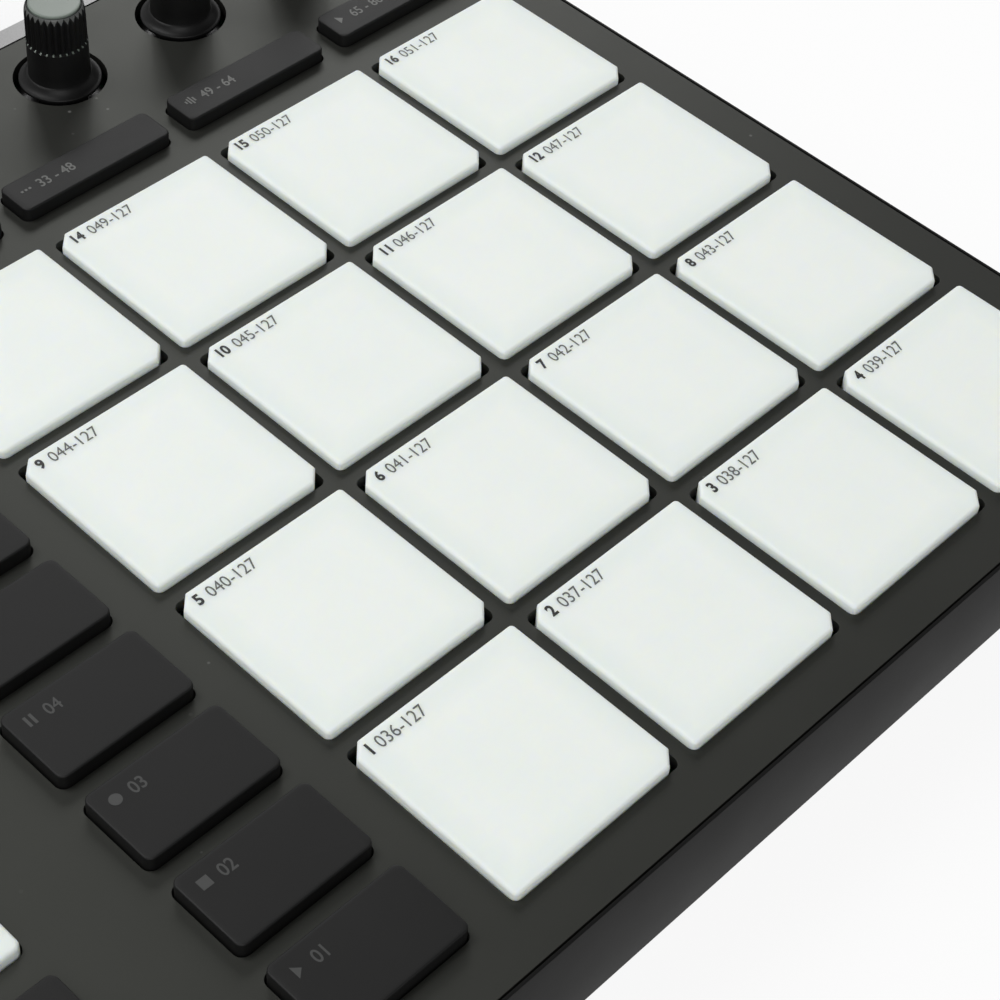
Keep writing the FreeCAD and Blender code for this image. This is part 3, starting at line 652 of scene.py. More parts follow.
@dataclass
class PanelSheet:
    """The face plate with its rounded cut-outs, in place of the CAD plate."""

    finishes: Finishes
    key_places: list[Place] = field(default_factory=list)
    pad_gap: float = 0.15 * MM
    key_gap: float = 0.25 * MM
    window_gap: float = 0.12 * MM
    pad_corner: float = 1.2 * MM
    key_corner: float = 1.4 * MM
    case_corner: float = 5.0 * MM
    lip: float = 0.8 * MM
    knob_hole: float = 7.6 * MM
    master_hole: float = 18.2 * MM
    edge: float = 0.05 * MM
    bezel: float = 3.8 * MM
    window_corner: float = 1.2 * MM
    strip_edge: float = 1.3 * MM

    def holes(self) -> list[list[Point]]:
        """Gives every cut-out's outline."""
        found = []
        pad = PadBlock(self.finishes)
        for number in range(1, pad.count + 1):
            middle = centre_of(f"pad_{number:02d}")
            place = (middle.x, middle.y, pad.width, pad.depth)
            found.append(self.slot(place, self.pad_corner, self.pad_gap))
        for place in [*self.key_places, place_of("touch_strip", self.strip_edge)]:
            found.append(self.slot(place, self.key_corner, self.key_gap))
        for number in range(1, 9):
            found.append(circle(centre_of(f"knob_{number}"), self.knob_hole, 64))
        found.append(circle(centre_of("master_knob"), self.master_hole, 96))
        found.append(self.slot(place_of("display_glass"), self.window_corner, self.window_gap))
        return found

    @staticmethod
    def slot(place: Place, corner: float, gap: float) -> list[Point]:
        """Gives a rounded hole a little larger than the cap in it."""
        x, y, w, d = place
        outline = Outline(w + 2 * gap, d + 2 * gap, corner, segments=6)
        return [(x + px, y + py) for px, py in outline.ring(0.0)]

    def build(self) -> None:
        """Builds the plate from a filled curve with a fine bevel."""
        low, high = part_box("top_panel")
        outline = Outline(high.x - low.x, high.y - low.y, self.case_corner - self.lip, segments=12)
        middle = (low + high) / 2
        rings = [[(middle.x + px, middle.y + py) for px, py in outline.ring(0.0)]] + self.holes()
        plate = cut_sheet("face_plate", rings, (low.z, high.z), self.edge, self.finishes["panel"])
        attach(plate, "body")
        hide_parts("top_panel")
        LOG.info("face plate built with %d cut-outs", len(rings) - 1)
        self.build_bezel()

    def build_bezel(self) -> None:
        """Builds the glossy border that is laid on the edge of the window."""
        low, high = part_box("display_glass")
        middle = (low + high) / 2
        outline = Outline(high.x - low.x, high.y - low.y, self.window_corner, segments=6)
        rings = [[(middle.x + px, middle.y + py) for px, py in outline.ring(inset)]
                 for inset in (0.1 * MM, self.bezel)]
        border = cut_sheet("window_border", rings, (high.z, high.z + 0.08 * MM), 0.02 * MM,
                           self.finishes["bezel"])
        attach(border, "body")


def cut_sheet(name: str, rings: list[list[Point]], heights: tuple[float, float], edge: float,
              finish: bpy.types.Material) -> bpy.types.Object:
    """Makes a flat sheet with holes from a filled curve.

    Args:
        name: The object's name.
        rings: The outline, then each hole.
        heights: Its lower and upper height.
        edge: The size of its fine bevel.
        finish: Its material.

    Returns:
        The sheet, at the origin.
    """
    curve = bpy.data.curves.new(name, "CURVE")
    curve.dimensions = "2D"
    curve.fill_mode = "BOTH"
    curve.extrude = (heights[1] - heights[0]) / 2 - edge
    curve.bevel_depth = edge
    curve.bevel_resolution = 1
    curve.offset = -edge
    for ring in rings:
        spline = curve.splines.new("POLY")
        spline.points.add(len(ring) - 1)
        spline.points.foreach_set("co", [v for x, y in ring for v in (x, y, 0.0, 1.0)])
        spline.use_cyclic_u = True
    mesh = mesh_of_curve(curve, finish)
    mesh.transform(Matrix.Translation((0.0, 0.0, (heights[0] + heights[1]) / 2)))
    return new_object(name, mesh, 30.0)


def circle(middle: Vector, radius: float, count: int) -> list[Point]:
    """Gives points round a circle, anticlockwise."""
    return [(x, y) for x, y, _ in round_ring(middle, radius, 0.0, count, False)]


@dataclass
class CaseWork:
    """The plate, the window and everything inside that keeps its CAD shape."""

    finishes: Finishes
    slots: dict[str, str] = field(default_factory=lambda: {
        "bottom_plate": "plate",
        "display_glass": "glass",
        "display_modules": "screen",
        "touch_strip": "strip",
        "control_board": "board",
        "pad_sensor_boards": "board",
        "main_board": "board",
        "encoder_bodies": "socket",
        "base_screws": "screw",
        "master_plunger": "metal",
    })

    def dress(self, nodes: dict[str, bpy.types.Object]) -> None:
        """Gives each CAD node that stays its finish.

        Args:
            nodes: The CAD nodes by name.
        """
        for name, finish in self.slots.items():
            dress_node(nodes[name], self.finishes[finish])
            LOG.info("dressed %s in %s", name, finish)


@dataclass
class PadBlock:
    """The sixteen square pads with their printed figures."""

    finishes: Finishes
    count: int = 16
    width: float = 30.2 * MM
    depth: float = 30.0 * MM
    cut: float = 2.1 * MM
    radius: float = 0.7 * MM
    edge: float = 0.5 * MM
    crown: float = 0.02 * MM
    seat: float = 0.2 * MM
    print_rise: float = 0.012 * MM
    note_gap: float = 1.1 * MM
    number_height: float = 2.0 * MM
    number_left: float = 2.0 * MM
    number_drop: float = 1.15 * MM

    def build(self) -> None:
        """Builds every pad in place of its CAD node."""
        for number in range(1, self.count + 1):
            node = f"pad_{number:02d}"
            middle = centre_of(node)
            low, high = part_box(node)
            top = high.z - self.seat
            outline = Outline(self.width, self.depth, self.radius, Corner.CUT, self.cut)
            cap = Cap(outline, low.z, top - self.crown, self.edge, self.crown)
            bm = bmesh.new()
            cap.add_to(bm, middle.x, middle.y)
            pad = finish_mesh(f"{node}_silicone", bm, self.finishes["pad"])
            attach(pad, node)
            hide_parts(node)
            self.print_number(number, node, middle, top)
        LOG.info("pads built: %d", self.count)

    def print_number(self, number: int, node: str, middle: Vector, top: float) -> None:
        """Prints the pad's number, and its note and full strength in thin figures beside it.

        Args:
            number: The pad's number.
            node: The pad's CAD node, which is also its body.
            middle: The pad's centre.
            top: The height of the pad's face.
        """
        z = top + self.print_rise
        left = middle.x - self.width / 2 + self.number_left
        upper = middle.y + self.depth / 2 - self.number_drop
        digits = number_mesh(f"{node}_number", str(number), self.number_height, self.finishes["ink"])
        self.set_down(digits, left, upper, z)
        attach(digits, node)
        start = max(v.co.x for v in digits.data.vertices) + self.note_gap
        note = number_mesh(f"{node}_note", f"{35 + number:03d}-{127}", self.number_height,
                           self.finishes["ink_grey"], 0.0)
        self.set_down(note, start, upper, z)
        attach(note, node)

    @staticmethod
    def set_down(figures: bpy.types.Object, left: float, upper: float, z: float) -> None:
        """Puts flat figures with their upper left corner at a place."""
        low_x = min(v.co.x for v in figures.data.vertices)
        high_y = max(v.co.y for v in figures.data.vertices)
        figures.data.transform(Matrix.Translation((left - low_x, upper - high_y, z)))


def number_mesh(name: str, text: str, height: float, finish: bpy.types.Material,
                weight: float = 0.035) -> bpy.types.Object:
    """Makes flat digits of a given height.

    Args:
        name: The object's name.
        text: The digits.
        height: How tall they are.
        finish: Their material.
        weight: How much their strokes are thickened.

    Returns:
        The object, at the origin.
    """
    curve = bpy.data.curves.new(name, "FONT")
    curve.body = text
    curve.size = 1.0
    curve.offset = weight
    curve.resolution_u = 4
    mesh = mesh_of_curve(curve, finish)
    tall = max(v.co.y for v in mesh.vertices) - min(v.co.y for v in mesh.vertices)
    mesh.transform(Matrix.Diagonal((FIGURE_WIDTH * height / tall, height / tall, 1.0, 1.0)))
    return new_object(name, mesh)


@dataclass
class KeyWork:
    """Every key cap, with a faint plain sign printed on it."""

    finishes: Finishes
    radius: float = 1.2 * MM
    edge: float = 0.25 * MM
    crown: float = 0.03 * MM
    key_rise: float = 28.5 * MM
    pad_rise: float = 27.9 * MM
    foot: float = 23.2 * MM
    flange: float = 0.8 * MM
    column_pitch: float = 33.0 * MM
    row_pitch: float = 16.5 * MM
    left_x: float = -137.45 * MM
    left_width: float = 28.3 * MM
    key_depth: float = 12.8 * MM
    side_width: float = 21.9 * MM
    control_x: float = -140.65 * MM
    control_pitch: float = 28.05 * MM
    transport_rows: Point = (-135.65 * MM, -119.15 * MM)
    group_rows: Point = (-97.4 * MM, -73.4 * MM)
    group_depth: float = 20.0 * MM
    group_edge: float = 0.6 * MM
    group_crown: float = 0.05 * MM
    perform_y: float = -36.0 * MM
    lower_y: float = -4.5 * MM
    display_y: float = 118.0 * MM
    narrow_depth: float = 9.0 * MM
    sign_size: float = 2.0 * MM
    sign_left: float = 2.0 * MM
    sign_rise: float = 0.01 * MM

    def columns(self) -> list[float]:
        """Gives the left block's four column centres."""
        return [self.left_x + self.column_pitch * column for column in range(4)]

    def banks(self) -> dict[str, list[Place]]:
        """Gives the joined banks' key places: centre, width and depth."""
        columns = [self.control_x + self.control_pitch * column for column in range(3)]
        wide = (self.left_width, self.key_depth)
        small = (self.side_width, self.key_depth)
        perform = [(x, self.perform_y, self.left_width, self.narrow_depth) for x in self.columns()]
        perform += [(x, self.lower_y + self.row_pitch * row, *small)
                    for row in (-1, 0, 1) for x in columns[:2]]
        return {
            "transport_keys": [(x, y, *wide) for y in self.transport_rows for x in self.columns()],
            "perform_keys": perform,
            "control_keys": [(x, (36.1 + 20.0 * row) * MM, *small) for row in range(5) for x in columns],
            "display_keys": [((133.1 - 25.575 * n) * MM, self.display_y, self.side_width, self.narrow_depth)
                             for n in range(8)],
        }

    def lone(self) -> dict[str, Place]:
        """Gives the keys that each have a node of their own, whose flange is a little wider."""
        names = [f"side_key_{n}" for n in range(1, 9)] + [f"mode_key_{n}" for n in range(1, 6)]
        return {name: place_of(name, self.flange) for name in names}

    def groups(self) -> list[Place]:
        """Gives the places of the left block's pale pads."""
        return [(x, y, self.left_width, self.group_depth) for y in self.group_rows for x in self.columns()]

    def places(self) -> list[Place]:
        """Gives every key's and pale pad's place."""
        joined = [place for bank in self.banks().values() for place in bank]
        return list(self.lone().values()) + joined + self.groups()

    def build(self) -> None:
        """Builds every key in place of its CAD node."""
        for order, (node, place) in enumerate(self.lone().items()):
            self.build_bank(node, [place], order)
        for order, (node, places) in enumerate(self.banks().items()):
            self.build_bank(node, places, 3 * order)
        self.build_group_pads(self.groups())
        LOG.info("keys built: %d", len(self.places()))

    def build_bank(self, node: str, places: list[Place], order: int) -> None:
        """Builds the caps and signs of one node.

        Args:
            node: The CAD node that they stand for.
            places: Each cap's centre, width and depth.
            order: Where in the list of signs this node starts.
        """
        bm = bmesh.new()
        signs = bmesh.new()
        icons = list(Icon)
        ink = self.finishes["legend_clear" if node.startswith("mode") else "legend"]
        for index, (x, y, w, d) in enumerate(places):
            outline = Outline(w, d, self.radius)
            Cap(outline, self.foot, self.key_rise - self.crown, self.edge, self.crown).add_to(bm, x, y)
            icon = icons[(order + index) % len(icons)]
            z = self.key_rise + self.sign_rise
            left = x - w / 2 + self.sign_left
            upper = y + d / 2 - min(self.sign_left, (d - self.sign_size) / 2)
            draw_icon(signs, icon, left, upper - self.sign_size, self.sign_size, z)
            key = order + index + 1
            text = f"{key:02d}"
            if node.startswith("mode"):
                text = f"{16 * (key - 9) + 1:02d} - {16 * (key - 9) + 16:02d}"
            number = number_mesh(f"{node}_number_{index + 1}", text, self.sign_size, ink, 0.012)
            shift = (left + 1.6 * self.sign_size, upper - self.sign_size, z)
            number.data.transform(Matrix.Translation(shift))
            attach(number, node)
        caps = finish_mesh(f"{node}_caps", bm, self.finishes["key"])
        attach(caps, node)
        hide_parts(node)
        printed = finish_mesh(f"{node}_signs", signs, ink)
        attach(printed, node)

    def build_group_pads(self, places: list[Place]) -> None:
        """Builds the pale pads of the left block."""
        bm = bmesh.new()
        for x, y, w, d in places:
            top = self.pad_rise - self.group_crown
            cap = Cap(Outline(w, d, self.radius), self.foot, top, self.group_edge, self.group_crown)
            cap.add_to(bm, x, y)
        caps = finish_mesh("group_pads_silicone", bm, self.finishes["pad"])
        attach(caps, "group_pads")
        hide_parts("group_pads")


WEDGES = {
    Icon.PLAY: ((1.0, 1),),
    Icon.BACK: ((0.0, -1), (3.4, -1)),
    Icon.SKIP: ((0.0, 1),),
}

BARS = {
    Icon.STOP: ((0.5, 0.5, 5, 5),),
    Icon.PAUSE: ((1.0, 0.3, 1.3, 5.4), (3.6, 0.3, 1.3, 5.4)),
    Icon.SKIP: ((3.9, 0.0, 1.1, 6),),
    Icon.PLUS: ((0.4, 2.5, 5.2, 1.0), (2.5, 0.4, 1.0, 2.1), (2.5, 3.5, 1.0, 2.1)),
    Icon.MINUS: ((0.4, 2.5, 5.2, 1.0),),
    Icon.GRID: tuple((col, row, 2.5, 2.5) for col in (0.2, 3.3) for row in (0.2, 3.3)),
    Icon.BARS: tuple((0.3, row, 5.4, 1.0) for row in (0.3, 2.5, 4.7)),
    Icon.DOTS: tuple((col, 2.3, 1.3, 1.3) for col in (0.2, 2.4, 4.6)),
    Icon.WAVE: tuple((col, 3 - tall / 2, 0.9, tall)
                     for col, tall in ((0.1, 2.0), (1.7, 4.4), (3.3, 6.0), (4.9, 3.2))),
}


def draw_icon(bm: bmesh.types.BMesh, icon: Icon, x: float, y: float, size: float, z: float) -> None:
    """Draws a plain sign in a square.

    Args:
        bm: The mesh it is added to.
        icon: Which sign.
        x: The square's left side.
        y: The square's front side.
        size: The square's side.
        z: The height it lies at.
    """
    unit = size / 6

    def bar(col: float, row: float, w: float, h: float) -> None:
        """Adds a bar on the square's six by six grid."""
        flat_polygon(bm, bar_points(x + col * unit, y + row * unit, w * unit, h * unit), z)

    def wedge(col: float, way: int) -> None:
        """Adds a triangle that points right or left."""
        tip = x + (col + (3.4 if way > 0 else 0.0)) * unit
        base = x + (col + (0.0 if way > 0 else 3.4)) * unit
        points = [(base, y), (tip, y + 3 * unit), (base, y + 6 * unit)]
        flat_polygon(bm, points if way > 0 else list(reversed(points)), z)

    for col, way in WEDGES.get(icon, ()):
        wedge(col, way)
    for place in BARS.get(icon, ()):
        bar(*place)
    if icon is Icon.RECORD:
        ring = [2 * math.pi * step / 20 for step in range(20)]
        flat_polygon(bm, [(x + (3 + 2.7 * math.cos(a)) * unit, y + (3 + 2.7 * math.sin(a)) * unit)
                          for a in ring], z)


def ridged(bm: bmesh.types.BMesh, middle: Vector, section: list[Spot], ridges: int,
           steps: int, depth: float) -> None:
    """Adds a knob's body, turned about its axis and ridged where its section says so.

    Args:
        bm: The mesh it is added to.
        middle: Where its axis passes.
        section: Radii and heights over the panel in millimetres, each with its share of the ridges.
        ridges: How many ridges go round.
        steps: How many points each ridge has.
        depth: How deep the valleys are.
    """
    count = ridges * steps
    previous: list[bmesh.types.BMVert] = []
    tip = None
    for radius, height, share in section:
        z = PANEL_Z + height * MM
        if radius == 0.0:
            tip = bm.verts.new((middle.x, middle.y, z))
            for index in range(count if previous else 0):
                bm.faces.new((previous[index], previous[(index + 1) % count], tip))
            continue
        ring = []
        for index in range(count):
            angle = 2 * math.pi * index / count
            valley = (0.5 - 0.5 * math.cos(ridges * angle)) ** 1.4
            r = radius * MM - depth * share * valley
            ring.append(bm.verts.new((middle.x + r * math.cos(angle), middle.y + r * math.sin(angle), z)))
        if previous:
            bridge(bm, previous, ring)
        else:
            for index in range(count):
                bm.faces.new((ring[(index + 1) % count], ring[index], tip))
        previous = ring


@dataclass
class KnobRow:
    """The eight encoder knobs: dished flange, smooth skirt, ridged grip and a light cap."""

    finishes: Finishes
    count: int = 8
    ridges: int = 28
    steps_per_ridge: int = 10
    cap_radius: float = 4.18 * MM
    cap_rise: float = 14.7 * MM
    ridge_depth: float = 0.36 * MM
    chamfer: tuple[Spot, ...] = (
        (4.80, 13.4, 0.75), (4.72, 13.8, 0.45), (4.62, 14.1, 0.2), (4.5, 14.32, 0.05), (4.4, 14.42, 0.0))

    def section(self) -> list[Spot]:
        """Gives the knob's section as (radius, height, ridge share), in millimetres."""
        points = [(0.0, -0.3, 0.0), (6.7, -0.3, 0.0), (6.7, 0.06, 0.0), (6.62, 0.16, 0.0), (6.5, 0.2, 0.0)]
        for step in range(1, 9):
            share = step / 8
            points.append((6.5 - 1.25 * share, 0.2 + 1.0 * share ** 1.7, 0.0))
        points += [(5.08, 1.28, 0.0), (5.0, 1.5, 0.0), (4.99, 3.0, 0.0), (4.95, 7.45, 0.0)]
        points += [(4.93, 7.6, 0.0), (4.92, 7.66, 1.0), (4.91, 8.0, 1.0), (4.88, 10.5, 1.0)]
        points += [(4.85, 12.6, 1.0), (4.84, 13.0, 0.95)]
        points += [(r, h, share) for r, h, share in self.chamfer]
        points += [(4.33, 14.45, 0.0), (4.30, 14.2, 0.0), (0.0, 14.2, 0.0)]
        return points

    def build(self) -> None:
        """Builds every knob in place of its CAD node."""
        for number in range(1, self.count + 1):
            node = f"knob_{number}"
            middle = centre_of(node)
            bm = bmesh.new()
            ridged(bm, middle, self.section(), self.ridges, self.steps_per_ridge, self.ridge_depth)
            body = finish_mesh(f"{node}_body", bm, self.finishes["knob"], 32.0)
            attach(body, node)
            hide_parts(node)
            for piece in (self.cap(node, middle), self.bevel(node, middle), self.dots(node, middle)):
                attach(piece, node)
        LOG.info("knobs built: %d", self.count)

    def bevel(self, node: str, middle: Vector) -> bpy.types.Object:
        """Builds grey sheets on the chamfered ends of the ridges, a painted highlight where those ends catch
        the light.
        """
        bm = bmesh.new()
        half = math.pi / self.ridges
        shares = (0.05, 0.35, 0.7, 0.95, 1.0)
        for ridge in range(self.ridges):
            peak = 2 * half * ridge
            previous: list[bmesh.types.BMVert] = []
            for (radius, height, _), share in zip(self.chamfer, shares):
                ring = []
                for side in (-1.0, 0.0, 1.0):
                    angle = peak + side * share * half
                    out = (radius + 0.03) * MM
                    z = PANEL_Z + (height + 0.02) * MM
                    place = (middle.x + out * math.cos(angle), middle.y + out * math.sin(angle), z)
                    ring.append(bm.verts.new(place))
                if previous:
                    for at in range(2):
                        bm.faces.new((previous[at], previous[at + 1], ring[at + 1], ring[at]))
                previous = ring
        return finish_mesh(f"{node}_chamfer_highlights", bm, self.finishes["rim"])

    def dots(self, node: str, middle: Vector) -> bpy.types.Object:
        """Builds a row of fine pale strips where the ridges start, a painted highlight on the ridges' lower
        ends.
        """
        bm = bmesh.new()
        z = PANEL_Z + 7.70 * MM
        for ridge in range(self.ridges):
            angle = 2 * math.pi * (ridge + 0.5) / self.ridges
            along = Vector((math.cos(angle), math.sin(angle), 0.0))
            across = Vector((-along.y, along.x, 0.0)) * 0.14 * MM
            low = Vector((middle.x, middle.y, z + 0.1 * MM)) + 4.62 * MM * along
            high = Vector((middle.x, middle.y, z - 0.14 * MM)) + 4.97 * MM * along
            corners = (low - across, high - across, high + across, low + across)
            bm.faces.new([bm.verts.new(place) for place in corners])
        # painted highlight: the strips take the pale cap finish
        return finish_mesh(f"{node}_ridge_start_highlights", bm, self.finishes["cap"])

    def cap(self, node: str, middle: Vector) -> bpy.types.Object:
        """Builds the light disc let into the top of a knob."""
        bm = bmesh.new()
        top = PANEL_Z + self.cap_rise
        profile = [(self.cap_radius, top - 0.5 * MM), (self.cap_radius, top - 0.12 * MM),
                   (self.cap_radius - 0.04 * MM, top - 0.04 * MM), (self.cap_radius - 0.14 * MM, top),
                   (self.cap_radius - 0.5 * MM, top - 0.01 * MM), (0.5 * MM, top - 0.04 * MM)]
        turned(bm, middle, profile)
        return finish_mesh(f"{node}_cap", bm, self.finishes["cap"])


@dataclass
class MasterKnob:
    """The large knob: a ridged drum on a flange, with a bevelled brim round a shallow dish."""

    finishes: Finishes
    ridges: int = 48
    steps_per_ridge: int = 6
    ridge_depth: float = 0.45 * MM

    def section(self) -> list[Spot]:
        """Gives the knob's section as (radius, height, ridge share), in millimetres."""
        points = [(0.0, -0.3, 0.0), (17.6, -0.3, 0.0), (17.6, 0.0, 0.0), (17.5, 0.14, 0.0), (17.3, 0.2, 0.0)]
        points += [(16.4, 0.6, 0.0), (15.7, 1.2, 0.0), (15.45, 1.6, 0.0), (15.4, 1.9, 0.0)]
        points += [(15.4, 2.0, 1.0), (15.35, 6.0, 1.0), (15.3, 10.2, 1.0), (15.2, 10.7, 0.6)]
        points += [(15.0, 11.1, 0.2), (14.8, 11.4, 0.0), (14.3, 12.0, 0.0), (13.9, 12.4, 0.0)]
        points += [(13.7, 12.5, 0.0), (12.2, 12.5, 0.0), (11.95, 12.4, 0.0), (11.6, 12.05, 0.0)]
        points += [(11.2, 11.8, 0.0), (9.0, 11.68, 0.0), (0.0, 11.6, 0.0)]
        return points

    def build(self) -> None:
        """Builds the large knob in place of its CAD node."""
        bm = bmesh.new()
        middle = centre_of("master_knob")
        ridged(bm, middle, self.section(), self.ridges, self.steps_per_ridge, self.ridge_depth)
        knob = finish_mesh("master_knob_drum", bm, self.finishes["knob"], 35.0)
        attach(knob, "master_knob")
        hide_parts("master_knob")
        LOG.info("large knob built")


@dataclass
class CaseShell:
    """The moulded walls, with soft corners, a drawn-in skirt and the holes for the sockets."""

    finishes: Finishes
    corner: float = 5.0 * MM
    wall: float = 2.2 * MM
    lip: float = 0.5 * MM
    lip_edge: float = 0.2 * MM
    skirt_in: float = 4.0 * MM
    skirt_wall: float = 6.2 * MM
    skirt_rise: float = 4.6 * MM
    inner_floor: float = 8.2 * MM
    panel_t: float = 2.0 * MM
    socket_z: float = 16.0 * MM
    hole_fit: float = 0.1 * MM
    lock: Place = (-104.5 * MM, 16.0 * MM, 7.0 * MM, 3.0 * MM)

    def stack(self, rings: list[Spot]) -> bmesh.types.BMesh:
        """Builds a closed stack of rounded outlines.

        Args:
            rings: How far each is drawn in, its corner radius and its height.

        Returns:
            The mesh.
        """
        low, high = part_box("case_frame")
        middle = (low + high) / 2
        bm = bmesh.new()
        solid = []
        for inset, corner, z in rings:
            outline = Outline(high.x - low.x - 2 * inset, high.y - low.y - 2 * inset, corner, segments=12)
            solid.append([(middle.x + px, middle.y + py, z) for px, py in outline.ring(0.0)])
        stack_rings(bm, solid)
        return bm

    def build(self) -> None:
        """Builds the walls in place of their CAD node."""
        low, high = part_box("case_frame")
        step = low.z + self.skirt_rise
        corner = self.corner
        edge = self.lip_edge
        outer = self.stack([
            (self.skirt_in, corner, low.z), (0.15 * MM, corner, step - 0.17 * MM), (0.02 * MM, corner, step),
            (0.0, corner, step + 0.2 * MM), (0.0, corner, high.z - edge),
            (0.3 * edge, corner - 0.3 * edge, high.z - 0.3 * edge), (edge, corner - edge, high.z),
        ])
        under = high.z - self.panel_t
        cutters = self.stack([
            (self.skirt_wall, 1.0 * MM, low.z - 1 * MM), (self.skirt_wall, 1.0 * MM, self.inner_floor),
            (self.wall, 2.8 * MM, self.inner_floor), (self.wall, 2.8 * MM, under),
            (self.lip, corner - self.lip, under), (self.lip, corner - self.lip, high.z + 1 * MM),
        ])
        self.add_holes(cutters, high.y)
        walls = carved("case_walls", outer, cutters, self.finishes["case"])
        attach(walls, "body")
        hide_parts("case_frame")
        LOG.info("case walls built")

    def add_holes(self, bm: bmesh.types.BMesh, back: float) -> None:
        """Adds what pierces the back wall."""
        inner = back - self.wall - 1 * MM
        sockets = BackSockets(self.finishes)
        for x, radius in sockets.round_holes():
            place = Vector((x, 0.0, self.socket_z))
            reach = radius + self.hole_fit
            turned(bm, place, [(reach, inner), (reach, back + 1 * MM)], to_back=True)
        usb = Outline(9.6 * MM, 3.9 * MM, 1.5 * MM)
        bar_to_back(bm, usb, sockets.data_x, self.socket_z, inner, back + 1 * MM)
        x, z, w, h = self.lock
        bar_to_back(bm, Outline(w, h, 1.0 * MM), x, z, inner, back + 1 * MM)


def bar_to_back(bm: bmesh.types.BMesh, outline: Outline, x: float, z: float, near: float,
                far: float) -> None:
    """Adds a bar of an upright outline that runs towards the back."""
    stack_rings(bm, [[(x + px, y, z - pz) for px, pz in outline.ring(0.0)] for y in (near, far)])


